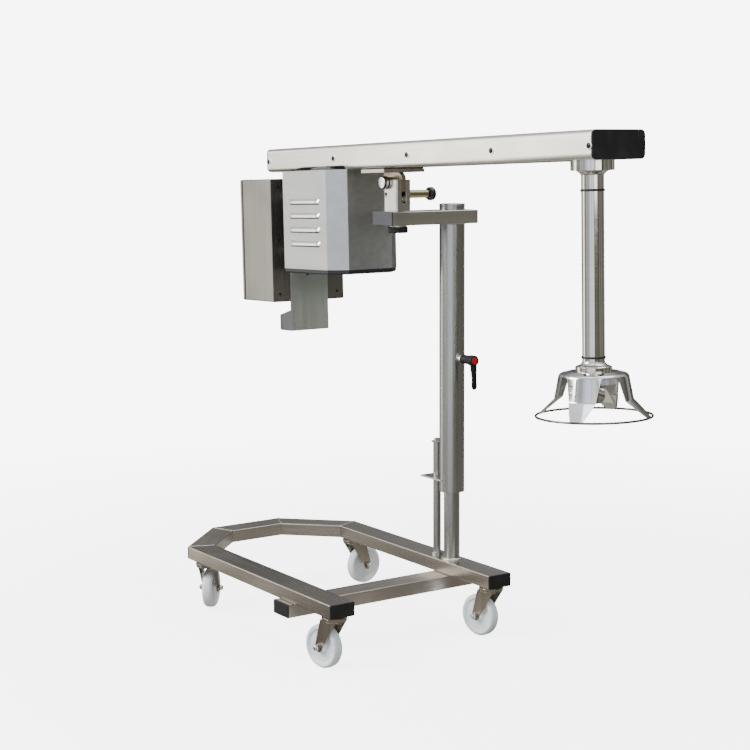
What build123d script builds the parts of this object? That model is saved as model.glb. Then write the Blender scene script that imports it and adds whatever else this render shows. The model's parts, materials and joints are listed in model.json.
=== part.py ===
"""Trolley-mounted tank agitator: a castor frame, a telescopic column, a tilting arm and its mixing tool.

The origin lies on the floor below the column's axis. +X runs along the arm to the tool, +Z is up.
"""

from build123d import *
import math
import os

os.makedirs("parts", exist_ok=True)

# ---------------------------------------------------------------- driving dimensions (mm, degrees)
# Castors
wheel_diameter = 125.0
wheel_width = 32.0
wheel_shoulder = 5.0
hub_length = 40.0
hub_diameter = 34.0
hub_draft = 3.0
wheel_recess = 6.0
rim_depth = 13.0
rim_draft = 4.0
axle_diameter = 10.0
axle_running_clearance = 0.05
castor_height = 160.0
castor_trail = 42.0
fork_wall = 2.5
fork_side_clearance = 0.4
fork_axle_lug = 14.0
fork_crown_inset = 2.0
fork_back_inset = 10.0
raceway_diameter = 72.0
raceway_height = 12.0
raceway_gap = 0.3
raceway_chamfer = 2.5
swivel_stud_inset = 14.0
mount_plate_inset = 4.0
bolt_head_flats = 16.5
bolt_head_height = 6.5
bolt_nut_height = 8.0
mount_plate_thickness = 4.0
castor_from_front = 39.0
castor_from_corner = 53.0
trail_heading = {"near_front": 192.0, "far_front": 191.0, "near_back": 137.0, "far_back": 96.0}

# Frame of flat-laid box tube
rail_width = 80.0
rail_height = 40.0
rail_wall = 2.0
rail_corner = 3.0
frame_width = 628.0
frame_front = 234.0
frame_back = 789.0
mitre_run = 189.0
cross_tube_overhang = 13.5
cap_thickness = 4.0
cap_insert = 14.0
cap_clearance = 0.2

# Column
post_diameter = 48.3
post_wall = 3.0
post_weld = 5.0
post_bush_spare = 16.0
sleeve_diameter = 76.1
sleeve_wall = 3.0
sleeve_length = 865.0
bush_length = 60.0
bush_slide_clearance = 0.3
plug_thickness = 3.0
rod_diameter = 24.0
rod_offset = 76.0
rod_collar_diameter = 34.0
rod_collar_height = 6.0
stop_washer_diameter = 34.0
stop_washer_thickness = 3.5
stop_bolt_flats = 16.0
stop_bolt_head = 8.0
bracket_above_sleeve_end = 32.0
bracket_thickness = 5.0
bracket_width = 82.0
bracket_beyond_rod = 30.0
bracket_rod_clearance = 0.5
slide_up = 102.0
slide_down = 205.0

# Clamp lever on the sleeve
clamp_above_sleeve_end = 407.0
clamp_boss_diameter = 24.0
clamp_boss_length = 16.0
clamp_stud_diameter = 10.0
lever_hub_diameter = 25.0
lever_hub_length = 56.0
lever_hub_taper = 1.5
lever_arm_inset = 9.0
lever_gap = 0.4
lever_bend = 6.0
lever_rounding = 4.0
stud_hole_clearance = 0.5
stud_into_hub = 2.0
lever_arm_length = 87.0
lever_tip_diameter = 17.0
lever_root_width = 13.0
button_diameter = 16.0
button_stand_out = 6.0
button_travel = 3.0

# Head bar and swivel head
head_offset = 194.4
seat_gap = 0.3
knob_groove_radius = 2.4
bar_width = 100.0
bar_height = 40.0
bar_wall = 3.0
bar_overhang = 51.6
bar_past_column = 55.0
sleeve_above_bar = 18.3
swivel_bush_diameter = 46.0
spindle_diameter = 30.0
spindle_clearance = 0.05
post_block_length = 66.0
post_block_width = 50.0
post_block_height = 91.0
post_block_back = 36.0
post_block_corner = 5.0
clevis_slot = 15.4
clevis_slot_depth = 68.0
pin_height_on_bar = 82.4
pin_back = 24.8
pin_diameter = 14.0
pin_clearance = 0.05
pin_head_diameter = 37.0
pin_head_thickness = 14.0
pin_nut_flats = 22.0
pin_nut_thickness = 10.0
lug_radius = 16.0
plunger_drop = 34.5
plunger_body_diameter = 24.0
plunger_body_length = 96.0
plunger_body_taper = 1.5
plunger_pin_diameter = 8.0
drift_hole_diameter = 12.0
plunger_pin_clearance = 0.05
plunger_neck_diameter = 12.0
plunger_knob_diameter = 40.0
plunger_knob_length = 22.0
plunger_knob_gap = 2.0
plunger_travel = 18.0
knob_diameter = 58.0
knob_height = 17.0
knob_washer_diameter = 52.0
knob_washer_thickness = 3.0
knob_drop = 2.0
knob_grooves = 24

# Arm, drawn level and then turned about the hinge pin
rest_tilt = 1.6
arm_width = 172.5
arm_height = 72.0
arm_wall = 3.0
arm_corner = 14.0
arm_nose = 937.0
arm_tail = 595.5
pin_below_arm = 41.5
arm_cap_thickness = 4.0
arm_cap_insert = 16.0
screw_diameter = 11.0
screw_head = 3.5
screw_columns = 5
screw_from_end = 8.0
screw_height = 33.0
tilt_plate_length = 118.0
tilt_plate_width = 143.0
tilt_plate_thickness = 10.0
tilt_pad_thickness = 3.0
tilt_pad_inset = 3.0
tilt_plate_corner = 2.0
tongue_clearance = 0.5
tongue_front = 56.0
tongue_bottom = 27.0
tongue_top_radius = 20.0
quadrant_margin = 9.0
tilt_range = 40.0

# Motor housing and drive
housing_front = 149.0
housing_back = 441.0
housing_width = 249.0
housing_chamfer = 46.4
housing_depth = 296.0
housing_wall = 2.0
housing_base_thickness = 13.0
housing_base_inset = 1.0
louvre_count = 4
louvre_length = 154.0
louvre_pitch = 42.0
louvre_height = 13.0
louvre_depth = 6.0
louvre_first_drop = 91.0
louvre_from_back = 47.0
motor_diameter = 168.0
motor_length = 214.0
motor_flange_diameter = 200.0
motor_flange_thickness = 12.0
motor_fin_count = 24
motor_fin_depth = 5.0
drive_shaft_diameter = 24.0
shaft_clearance = 0.05
pulley_pitch_diameter = 84.0
pulley_width = 32.0
pulley_flange = 3.0
pulley_flange_step = 4.0
belt_thickness = 5.0
belt_width = 25.0
belt_clearance = 0.3

# Control box behind the motor
box_front = 506.5
box_depth = 180.0
box_width = 260.0
box_height = 383.0
box_top_drop = 21.5
box_wall = 2.0
lid_thickness = 14.0
box_corner = 5.0
spacer_diameter = 20.0
spacer_spread = 130.0
spacer_upper_drop = 75.0
spacer_lower_drop = 245.0
box_screw_diameter = 9.0
box_screw_head = 2.5
box_screw_inset = 25.0
hook_width = 138.0
hook_bottom_drop = 498.0
hook_top_drop = 268.0
hook_plate_thickness = 3.0
hook_cheek_depth = 66.0
hook_cheek_height = 66.0
hook_cheek_front_height = 49.0
hook_lip = 16.0
hook_rounding = 6.0
hook_slot_length = 24.0
hook_slot_width = 7.0
hook_slot_drop = 50.0
hook_slot_turn = 35.0
gland_diameter = 26.0
gland_bore = 12.0
gland_length = 30.0
gland_thread_length = 8.0
gland_thread_inset = 4.0
gland_dome_inset = 2.0
gland_inset = 46.0
gland_side = 70.0
dial_diameter = 42.0
dial_height = 18.0
push_button_diameter = 26.0
push_button_height = 8.0
mushroom_diameter = 38.0
mushroom_height = 20.0
control_drop = 110.0
control_spacing = 66.0
control_gap = 0.4
control_travel = 4.0
control_rounding = 1.5
control_stem_diameter = 12.0
control_stem_inside = 10.0

# Mixing tool
tool_from_nose = 93.5
flange_diameter = 109.0
flange_thickness = 25.0
neck_length = 11.0
tube_diameter = 57.0
tube_wall = 3.0
tube_end = 497.0
seal_drops = (73.0, 487.0)
seal_section = 5.0
seal_groove = 1.5
collar_diameter = 92.0
collar_top = 508.0
collar_height = 13.0
collar_edge = 2.0
flange_under_radius = 42.5
collar_flare_radius = 42.3
neck_flare = 4.0
cage_bend_radius = 9.0
ring_past_foot = 3.9
cage_wall = 3.0
cage_shoulder_radius = 86.0
cage_shoulder_drop = 528.5
cage_knee_radius = 98.0
cage_knee_drop = 592.0
ring_radius = 141.7
ring_drop = 634.0
ring_section = 6.0
leg_count = 4
leg_heading = 31.0
leg_top_width = 80.0
leg_knee_width = 66.0
leg_foot_width = 28.0
window_top_drop = 532.0
window_corner = 7.5
window_shoulder = 8.0
shaft_diameter = 20.0
shaft_guide_length = 40.0
blade_radius = 62.0
blade_top_drop = 556.0
blade_height = 46.0
blade_thickness = 3.0
blade_hub_diameter = 40.0
blade_count = 4
blade_pitch = 35.0

# ---------------------------------------------------------------- places worked out from them
rail_bottom = castor_height
rail_top = rail_bottom + rail_height
rail_far_outer = rail_width / 2
rail_near_outer = rail_far_outer - frame_width
rail_near_axis = rail_near_outer + rail_width / 2
sleeve_radius = sleeve_diameter / 2
post_radius = post_diameter / 2
sleeve_bottom = rail_top + post_weld + slide_down
sleeve_top = sleeve_bottom + sleeve_length
bracket_height = sleeve_bottom + bracket_above_sleeve_end
clamp_height = sleeve_bottom + clamp_above_sleeve_end
post_top = clamp_height + bush_length / 2 + slide_up + post_bush_spare
rod_length = bracket_height + bracket_thickness + slide_up - rail_top
bar_top = sleeve_top - sleeve_above_bar
bar_bottom = bar_top - bar_height
swivel_y = -head_offset
pin_x = -pin_back
pin_z = bar_top + pin_height_on_bar
arm_bottom = pin_z + pin_below_arm
motor_x = -(housing_front + housing_back) / 2
tool_reach = arm_nose - tool_from_nose
clamp_face = sleeve_radius + clamp_boss_length
arm_place = (
    Location((pin_x, swivel_y, pin_z))
    * Location((0, 0, 0), (0, -rest_tilt, 0))
    * Location((-pin_x, -swivel_y, -pin_z))
)


def save(name, *pieces, on_arm=False):
    """Label a finished piece and write it; arm pieces are turned about the hinge pin first."""
    whole = pieces[0].part if len(pieces) == 1 else Compound([piece.part for piece in pieces])
    solid = whole.moved(arm_place) if on_arm else whole
    solid.label = name
    export_step(solid, f"parts/{name}.step")


def along(a, b, share):
    """The point at a share of the way from a to b in plan."""
    return (a[0] + (b[0] - a[0]) * share, a[1] + (b[1] - a[1]) * share)


# ---------------------------------------------------------------- frame
mitre_shift = rail_width * math.tan(math.radians(22.5))
outer = [
    (frame_front, rail_near_outer),
    (mitre_run - frame_back, rail_near_outer),
    (-frame_back, rail_near_outer + mitre_run),
    (-frame_back, rail_far_outer - mitre_run),
    (mitre_run - frame_back, rail_far_outer),
    (frame_front, rail_far_outer),
]
inner = [
    (frame_front, rail_near_outer + rail_width),
    (mitre_run - frame_back + mitre_shift, rail_near_outer + rail_width),
    (rail_width - frame_back, rail_near_outer + mitre_run + mitre_shift),
    (rail_width - frame_back, rail_far_outer - mitre_run - mitre_shift),
    (mitre_run - frame_back + mitre_shift, rail_far_outer - rail_width),
    (frame_front, rail_far_outer - rail_width),
]


def frame_tube(name, first):
    """One hollow tube of the frame, cut to its mitres, from corner `first` to the next."""
    last = first + 1
    run = Vector(outer[last][0] - outer[first][0], outer[last][1] - outer[first][1], 0)
    wall_share = rail_wall / rail_width
    with BuildPart() as tube:
        with BuildSketch(Plane.XY.offset(rail_bottom)):
            with BuildLine():
                Polyline(outer[first], outer[last], inner[last], inner[first], close=True)
            make_face()
        extrude(amount=rail_height)
        fillet(tube.edges().filter_by(Axis((0, 0, 0), run.normalized())), radius=rail_corner)
        with BuildSketch(Plane.XY.offset(rail_bottom + rail_wall)):
            with BuildLine():
                Polyline(
                    along(outer[first], inner[first], wall_share),
                    along(outer[last], inner[last], wall_share),
                    along(inner[last], outer[last], wall_share),
                    along(inner[first], outer[first], wall_share),
                    close=True,
                )
            make_face()
        extrude(amount=rail_height - 2 * rail_wall, mode=Mode.SUBTRACT)
    save(name, tube)


frame_tube("near_rail", 0)
frame_tube("near_mitre_tube", 1)
frame_tube("end_tube", 2)
frame_tube("far_mitre_tube", 3)
frame_tube("far_rail", 4)

cross_bottom = rail_bottom - rail_height
cross_start = rail_near_outer - cross_tube_overhang
cross_length = rail_far_outer + cross_tube_overhang - cross_start
with BuildPart() as cross_tube:
    with BuildSketch(Plane.XZ.offset(-cross_start)):
        with Locations((0, cross_bottom + rail_height / 2)):
            RectangleRounded(rail_width, rail_height, rail_corner)
            Rectangle(rail_width - 2 * rail_wall, rail_height - 2 * rail_wall, mode=Mode.SUBTRACT)
    extrude(amount=-cross_length)
save("cross_tube", cross_tube)


def tube_cap(plane, width, height, wall, corner, plate, insert):
    """A plastic cap on a tube's end: plane.z_dir points out of the tube, at the tube's end."""
    outward = Axis(plane.origin, plane.z_dir)
    inside = 2 * (wall + cap_clearance)
    with BuildPart() as cap:
        with BuildSketch(plane):
            RectangleRounded(width, height, corner)
        extrude(amount=plate)
        chamfer(cap.faces().filter_by(outward).sort_by(outward)[-1].edges(), length=plate * 0.3)
        with BuildSketch(plane):
            RectangleRounded(width - inside, height - inside, corner - wall / 2)
            Rectangle(width - 3 * inside, height - 3 * inside, mode=Mode.SUBTRACT)
        extrude(amount=-insert)
    return cap.part


rail_cap_sizes = (rail_width, rail_height, rail_wall, rail_corner, cap_thickness, cap_insert)
cap_planes = [
    Plane((frame_front, y, rail_bottom + rail_height / 2), x_dir=(0, 1, 0), z_dir=(1, 0, 0))
    for y in (rail_near_axis, 0)
] + [
    Plane((0, y, cross_bottom + rail_height / 2), x_dir=(1, 0, 0), z_dir=(0, facing, 0))
    for y, facing in ((cross_start, -1), (cross_start + cross_length, 1))
]
frame_caps = [tube_cap(plane, *rail_cap_sizes) for plane in cap_planes]
with BuildPart() as frame_end_caps:
    add(frame_caps)
save("frame_end_caps", frame_end_caps)

# ---------------------------------------------------------------- castors
wheel_radius = wheel_diameter / 2
hub_radius = hub_diameter / 2
bore_radius = axle_diameter / 2 + axle_running_clearance
recess_floor = wheel_width / 2 - wheel_recess
castor_reach = (castor_trail, 0, wheel_radius)
castor_seats = {
    "near_front": (frame_front - castor_from_front, rail_near_axis),
    "far_front": (frame_front - castor_from_front, 0.0),
    "near_back": (mitre_run - frame_back + castor_from_corner, rail_near_axis),
    "far_back": (mitre_run - frame_back + castor_from_corner, 0.0),
}
plate_bottom = rail_bottom - mount_plate_thickness
fork_top = plate_bottom - raceway_height
fork_inside = hub_length + 2 * fork_side_clearance
fork_outside = fork_inside + 2 * fork_wall
raceway_radius = raceway_diameter / 2
swivel_stud_radius = raceway_radius - swivel_stud_inset

with BuildPart() as castor_mounts:
    for seat in castor_seats.values():
        with BuildSketch(Plane.XY.offset(plate_bottom)):
            with Locations(seat):
                Circle(raceway_diameter / 2 - mount_plate_inset)
        extrude(amount=mount_plate_thickness)
        with BuildSketch(Plane.XY.offset(fork_top)):
            with Locations(seat):
                Circle(swivel_stud_radius)
        extrude(amount=raceway_height)
save("castor_mounts", castor_mounts)


def castor(name, seat, heading):
    """Fork, axle and wheel of one castor, on planes that face along its trail."""
    turn = math.radians(heading)
    trail = Plane((seat[0], seat[1], 0), x_dir=(math.cos(turn), math.sin(turn), 0))
    side = Plane(trail.origin, x_dir=trail.x_dir, z_dir=-trail.y_dir)
    axle = (castor_trail, wheel_radius)
    with BuildPart() as fork:
        with BuildSketch(trail.offset(fork_top)):
            Circle(raceway_radius)
            Circle(swivel_stud_radius + axle_running_clearance, mode=Mode.SUBTRACT)
        extrude(amount=raceway_height - raceway_gap)
        chamfer(fork.edges().filter_by(GeomType.CIRCLE).group_by(SortBy.RADIUS)[-1], length=raceway_chamfer)
        with BuildSketch(trail.offset(fork_top - fork_wall)):
            Circle(raceway_radius - fork_crown_inset)
        extrude(amount=fork_wall)
        with BuildSketch(side.offset(-fork_outside / 2)):
            with BuildLine():
                Polyline(
                    (fork_back_inset - raceway_radius, fork_top),
                    (castor_trail - fork_axle_lug, wheel_radius),
                    (castor_trail + fork_axle_lug, wheel_radius),
                    (raceway_radius - fork_crown_inset, fork_top),
                    close=True,
                )
            make_face()
            with Locations(axle):
                Circle(fork_axle_lug)
        extrude(amount=fork_outside)
        with BuildSketch(side.offset(-fork_inside / 2)):
            with Locations((castor_trail / 2, (fork_top - fork_wall) / 2)):
                Rectangle(4 * castor_trail, fork_top - fork_wall)
        extrude(amount=fork_inside, mode=Mode.SUBTRACT)
        with BuildSketch(side.offset(-fork_outside)):
            with Locations(axle):
                Circle(axle_diameter / 2)
        extrude(amount=2 * fork_outside, mode=Mode.SUBTRACT)
    with BuildPart() as bolt:
        with BuildSketch(side.offset(-fork_outside / 2)):
            with Locations(axle):
                Circle(axle_diameter / 2)
        extrude(amount=fork_outside)
        for start, length in ((fork_outside / 2, bolt_head_height), (-fork_outside / 2, -bolt_nut_height)):
            with BuildSketch(side.offset(start)):
                with Locations(axle):
                    RegularPolygon(bolt_head_flats / 2, 6, major_radius=False)
            extrude(amount=length)
    save(f"castor_fork_{name}", fork, bolt)

    centre = Plane(trail.from_local_coords(Vector(*castor_reach)), x_dir=trail.x_dir, z_dir=-trail.y_dir)
    with BuildPart() as wheel:
        with BuildSketch(Plane(centre.origin, x_dir=centre.z_dir, z_dir=trail.x_dir)):
            with BuildLine():
                Polyline(
                    (0, bore_radius),
                    (hub_length / 2, bore_radius),
                    (hub_length / 2, hub_radius),
                    (recess_floor, hub_radius + hub_draft),
                    (recess_floor, wheel_radius - rim_depth - rim_draft),
                    (wheel_width / 2, wheel_radius - rim_depth),
                    (wheel_width / 2, wheel_radius - wheel_shoulder),
                    (wheel_width / 2 - wheel_shoulder, wheel_radius),
                    (0, wheel_radius),
                )
                mirror(about=Plane.YZ)
            make_face()
        revolve(axis=Axis(centre.origin, centre.z_dir))
    save(f"castor_wheel_{name}", wheel)


for name, seat in castor_seats.items():
    castor(name, seat, trail_heading[name])

# ---------------------------------------------------------------- column
with BuildPart() as column_post:
    with BuildSketch(Plane.XY.offset(rail_top)):
        Circle(post_radius)
        Circle(post_radius - post_wall, mode=Mode.SUBTRACT)
    extrude(amount=post_top - rail_top)
    with BuildSketch(Plane.XZ):
        with BuildLine():
            Polyline(
                (post_radius - post_wall, rail_top),
                (post_radius + post_weld, rail_top),
                (post_radius, rail_top + post_weld),
                (post_radius - post_wall, rail_top + post_weld),
                close=True,
            )
        make_face()
    revolve(axis=Axis.Z)
save("column_post", column_post)

rod_x = -rod_offset
rod_top = rail_top + rod_length
with BuildPart() as guide_rod:
    with BuildSketch(Plane.XY.offset(rail_top)):
        with Locations((rod_x, 0)):
            Circle(rod_diameter / 2)
    extrude(amount=rod_length)
    with BuildSketch(Plane.XY.offset(rail_top)):
        with Locations((rod_x, 0)):
            Circle(rod_collar_diameter / 2)
    extrude(amount=rod_collar_height)
    with BuildSketch(Plane.XY.offset(rod_top)):
        with Locations((rod_x, 0)):
            Circle(stop_washer_diameter / 2)
    extrude(amount=stop_washer_thickness)
    with BuildSketch(Plane.XY.offset(rod_top + stop_washer_thickness)):
        with Locations((rod_x, 0)):
            RegularPolygon(stop_bolt_flats / 2, 6, major_radius=False)
    extrude(amount=stop_bolt_head)
save("guide_rod", guide_rod)

# ---------------------------------------------------------------- sleeve that slides on the column
stud_radius = clamp_stud_diameter / 2
stud_start = post_radius + bush_slide_clearance
with BuildPart() as sleeve_tube:
    with BuildSketch(Plane.XY.offset(sleeve_bottom)):
        Circle(sleeve_radius)
        Circle(sleeve_radius - sleeve_wall, mode=Mode.SUBTRACT)
    extrude(amount=sleeve_length - plug_thickness)
    with BuildSketch(Plane.YZ):
        with Locations((0, clamp_height)):
            Circle(stud_radius + stud_hole_clearance)
    extrude(amount=2 * sleeve_radius, mode=Mode.SUBTRACT)
save("sleeve_tube", sleeve_tube)

bush_outer = sleeve_radius - sleeve_wall
with BuildPart() as sleeve_bushes:
    for bottom in (sleeve_bottom, clamp_height - bush_length / 2):
        with BuildSketch(Plane.XY.offset(bottom)):
            Circle(bush_outer)
            Circle(stud_start, mode=Mode.SUBTRACT)
        extrude(amount=bush_length)
    with BuildSketch(Plane.YZ):
        with Locations((0, clamp_height)):
            Circle(stud_radius + stud_hole_clearance)
    extrude(amount=2 * sleeve_radius, mode=Mode.SUBTRACT)
with BuildPart() as swivel_bush:
    with BuildSketch(Plane.XY.offset(bar_bottom)):
        with Locations((0, swivel_y)):
            Circle(swivel_bush_diameter / 2)
            Circle(spindle_diameter / 2 + spindle_clearance, mode=Mode.SUBTRACT)
    extrude(amount=bar_height)
save("bushes", sleeve_bushes, swivel_bush)

with BuildPart() as sleeve_plug:
    with BuildSketch(Plane.XY.offset(sleeve_top - plug_thickness)):
        Circle(sleeve_radius)
    extrude(amount=plug_thickness)
    fillet(sleeve_plug.edges().sort_by(Axis.Z)[-1], radius=plug_thickness / 2)
    with BuildSketch(Plane.XY.offset(sleeve_top - plug_thickness)):
        Circle(bush_outer - cap_clearance)
    extrude(amount=-cap_insert)
save("sleeve_plug", sleeve_plug)

with BuildPart() as guide_bracket:
    with BuildSketch(Plane.XY.offset(bracket_height)):
        with Locations((rod_x - bracket_beyond_rod, 0)):
            Rectangle(rod_offset + bracket_beyond_rod, bracket_width, align=(Align.MIN, Align.CENTER))
        with Locations((rod_x, 0)):
            Circle(rod_diameter / 2 + bracket_rod_clearance, mode=Mode.SUBTRACT)
        Circle(sleeve_radius, mode=Mode.SUBTRACT)
    extrude(amount=bracket_thickness)
save("guide_bracket", guide_bracket)

clamp_plane = Plane((0, 0, clamp_height), x_dir=(0, 1, 0), z_dir=(1, 0, 0))
with BuildPart() as clamp_boss:
    with BuildSketch(clamp_plane):
        Circle(clamp_boss_diameter / 2)
    extrude(amount=clamp_face)
    with BuildSketch(Plane.XY.offset(clamp_height - clamp_boss_diameter)):
        Circle(sleeve_radius)
    extrude(amount=2 * clamp_boss_diameter, mode=Mode.SUBTRACT)
    with BuildSketch(clamp_plane):
        Circle(stud_radius + shaft_clearance)
    extrude(amount=clamp_face, mode=Mode.SUBTRACT)
save("clamp_boss", clamp_boss)

# ---------------------------------------------------------------- clamp lever
lever_start = clamp_face + lever_gap
lever_end = lever_start + lever_hub_length
lever_middle = lever_end - lever_arm_inset
with BuildPart() as clamp_lever:
    with BuildSketch(clamp_plane.offset(lever_start)):
        Circle(lever_hub_diameter / 2)
    extrude(amount=lever_hub_length, taper=lever_hub_taper)
    with BuildSketch(Plane.XY.offset(clamp_height)):
        with Locations((lever_middle, 0)):
            RectangleRounded(lever_root_width, lever_root_width * 1.3, lever_rounding)
    with BuildSketch(Plane.XY.offset(clamp_height - lever_arm_length * 0.55)):
        with Locations((lever_middle + lever_bend / 2, 0)):
            RectangleRounded(lever_root_width * 0.75, lever_root_width, lever_rounding)
    with BuildSketch(Plane.XY.offset(clamp_height - lever_arm_length)):
        with Locations((lever_middle + lever_bend, 0)):
            RectangleRounded(lever_root_width * 0.95, lever_tip_diameter, lever_rounding)
    loft()
    with BuildSketch(clamp_plane.offset(lever_end)):
        Circle(button_diameter / 2 + control_gap)
    extrude(amount=-(button_travel + button_stand_out), mode=Mode.SUBTRACT)
    with BuildSketch(clamp_plane.offset(stud_start)):
        Circle(stud_radius)
    extrude(amount=lever_start + stud_into_hub - stud_start)
save("clamp_lever", clamp_lever)

with BuildPart() as clamp_button:
    with BuildSketch(clamp_plane.offset(lever_end - button_stand_out)):
        Circle(button_diameter / 2)
    extrude(amount=button_stand_out + button_travel)
    fillet(clamp_button.edges().sort_by(Axis.X)[-1], radius=button_travel * 0.6)
save("clamp_button", clamp_button)

# ---------------------------------------------------------------- head bar
bar_near = swivel_y - bar_overhang
bar_middle = bar_bottom + bar_height / 2
with BuildPart() as head_bar:
    with BuildSketch(Plane.XZ.offset(-bar_near)):
        with Locations((0, bar_middle)):
            RectangleRounded(bar_width, bar_height, rail_corner)
            Rectangle(bar_width - 2 * bar_wall, bar_height - 2 * bar_wall, mode=Mode.SUBTRACT)
    extrude(amount=-(bar_past_column - bar_near))
    with BuildSketch(Plane.XY.offset(bar_bottom)):
        Circle(sleeve_radius)
        with Locations((0, swivel_y)):
            Circle(swivel_bush_diameter / 2)
    extrude(amount=bar_height, mode=Mode.SUBTRACT)
save("head_bar", head_bar)

bar_cap_sizes = (bar_width, bar_height, bar_wall, rail_corner, cap_thickness, cap_insert)
bar_caps = [
    tube_cap(Plane((0, y, bar_middle), x_dir=(1, 0, 0), z_dir=(0, facing, 0)), *bar_cap_sizes)
    for y, facing in ((bar_near, -1), (bar_past_column, 1))
]
with BuildPart() as head_bar_caps:
    add(bar_caps)
save("head_bar_caps", head_bar_caps)

# ---------------------------------------------------------------- swivel head
pin_side = Plane((pin_x, swivel_y, pin_z), x_dir=(1, 0, 0), z_dir=(0, -1, 0))
half_block = post_block_width / 2
block_bottom = bar_top + seat_gap
block_top = bar_top + post_block_height
block_front = post_block_length - post_block_back
slot_floor = block_top - clevis_slot_depth + clevis_slot / 2
with BuildPart() as pivot_post:
    with BuildSketch(Plane.XY.offset(block_bottom)):
        with Locations((block_front - post_block_length / 2, swivel_y)):
            RectangleRounded(post_block_length, post_block_width, post_block_corner)
    extrude(amount=block_top - block_bottom)
    with BuildSketch(pin_side.offset(-half_block)):
        Circle(lug_radius)
    extrude(amount=post_block_width)
    with BuildSketch(Plane.YZ.offset(-2 * post_block_length)):
        with Locations((swivel_y, slot_floor)):
            Rectangle(clevis_slot, 2 * clevis_slot_depth, align=(Align.CENTER, Align.MIN))
            Circle(clevis_slot / 2)
    extrude(amount=4 * post_block_length, mode=Mode.SUBTRACT)
    with BuildSketch(pin_side.offset(-post_block_width)):
        Circle(pin_diameter / 2)
        with Locations((0, -plunger_drop)):
            Circle(plunger_pin_diameter / 2 + plunger_pin_clearance)
    extrude(amount=2 * post_block_width, mode=Mode.SUBTRACT)
    with BuildSketch(pin_side.offset(half_block)):
        with Locations((0, -plunger_drop)):
            Circle(drift_hole_diameter / 2)
    extrude(amount=clevis_slot / 2 - half_block, mode=Mode.SUBTRACT)
save("pivot_post", pivot_post)

washer_bottom = bar_bottom - knob_drop - knob_washer_thickness
knob_top = washer_bottom - seat_gap
with BuildPart() as swivel_spindle:
    with BuildSketch(Plane.XY.offset(knob_top - knob_height * 0.6)):
        with Locations((0, swivel_y)):
            Circle(spindle_diameter / 4)
    extrude(amount=knob_height * 0.6 + knob_drop + knob_washer_thickness + seat_gap)
    with BuildSketch(Plane.XY.offset(bar_bottom - knob_drop + seat_gap)):
        with Locations((0, swivel_y)):
            Circle(spindle_diameter / 2)
    extrude(amount=block_bottom - bar_bottom + knob_drop - seat_gap)
    with BuildSketch(Plane.XY.offset(washer_bottom)):
        with Locations((0, swivel_y)):
            Circle(knob_washer_diameter / 2)
    extrude(amount=knob_washer_thickness + knob_drop - seat_gap)
save("swivel_spindle", swivel_spindle)

with BuildPart() as swivel_knob:
    with BuildSketch(Plane.XY.offset(knob_top - knob_height)):
        with Locations((0, swivel_y)):
            Circle(knob_diameter / 2)
            with PolarLocations((knob_diameter + knob_groove_radius) / 2, knob_grooves):
                Circle(knob_groove_radius, mode=Mode.SUBTRACT)
    extrude(amount=knob_height)
    with BuildSketch(Plane.XY.offset(knob_top)):
        with Locations((0, swivel_y)):
            Circle(spindle_diameter / 4 + shaft_clearance)
    extrude(amount=-knob_height * 0.6 - seat_gap, mode=Mode.SUBTRACT)
save("swivel_knob", swivel_knob)

with BuildPart() as hinge_pin:
    with BuildSketch(pin_side.offset(-half_block)):
        Circle(pin_diameter / 2)
    extrude(amount=post_block_width)
    with BuildSketch(pin_side.offset(half_block)):
        Circle(pin_head_diameter / 2)
    extrude(amount=pin_head_thickness)
    fillet(hinge_pin.faces().sort_by(Axis.Y)[0].edges(), radius=pin_head_thickness * 0.3)
    with BuildSketch(pin_side.offset(-half_block)):
        RegularPolygon(pin_nut_flats / 2, 6, major_radius=False)
    extrude(amount=-pin_nut_thickness)
save("hinge_pin", hinge_pin)

plunger_axis = Plane((pin_x, swivel_y + half_block, pin_z - plunger_drop), x_dir=(1, 0, 0), z_dir=(0, 1, 0))
with BuildPart() as plunger_body:
    with BuildSketch(plunger_axis):
        Circle(plunger_body_diameter / 2)
    extrude(amount=plunger_body_length)
    chamfer(plunger_body.edges().filter_by(GeomType.CIRCLE).sort_by(Axis.Y)[-1], length=plunger_body_taper)
    with BuildSketch(plunger_axis):
        Circle(plunger_pin_diameter / 2 + plunger_pin_clearance)
    extrude(amount=plunger_body_length, mode=Mode.SUBTRACT)
save("plunger_body", plunger_body)

plunger_reach = half_block + clevis_slot / 2
with BuildPart() as plunger_pin:
    with BuildSketch(plunger_axis.offset(-plunger_reach)):
        Circle(plunger_pin_diameter / 2)
    extrude(amount=plunger_reach + plunger_body_length + plunger_knob_gap + plunger_knob_length * 0.5)
save("plunger_pin", plunger_pin)

knob_start = plunger_body_length + plunger_knob_gap
with BuildPart() as plunger_knob:
    with BuildSketch(plunger_axis.offset(knob_start)):
        Circle(plunger_knob_diameter / 2)
    extrude(amount=plunger_knob_length)
    fillet(plunger_knob.edges().filter_by(GeomType.CIRCLE), radius=plunger_knob_length * 0.42)
    with BuildSketch(plunger_axis.offset(knob_start)):
        Circle(plunger_pin_diameter / 2)
    extrude(amount=plunger_knob_length * 0.5, mode=Mode.SUBTRACT)
save("plunger_knob", plunger_knob)

# ---------------------------------------------------------------- arm
arm_y = swivel_y
arm_middle = arm_bottom + arm_height / 2
arm_side = Plane((0, arm_y, arm_bottom), x_dir=(1, 0, 0), z_dir=(0, -1, 0))
arm_end = Plane((arm_nose, arm_y, arm_middle), x_dir=(0, 1, 0), z_dir=(1, 0, 0))
tail_end = Plane((-arm_tail, arm_y, arm_middle), x_dir=(0, 1, 0), z_dir=(-1, 0, 0))
arm_plan = Plane((0, arm_y, arm_bottom))
motor_centre = (motor_x, 0)
tool_centre = (tool_reach, 0)
tube_radius = tube_diameter / 2
shaft_hole = tube_radius - tube_wall

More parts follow.
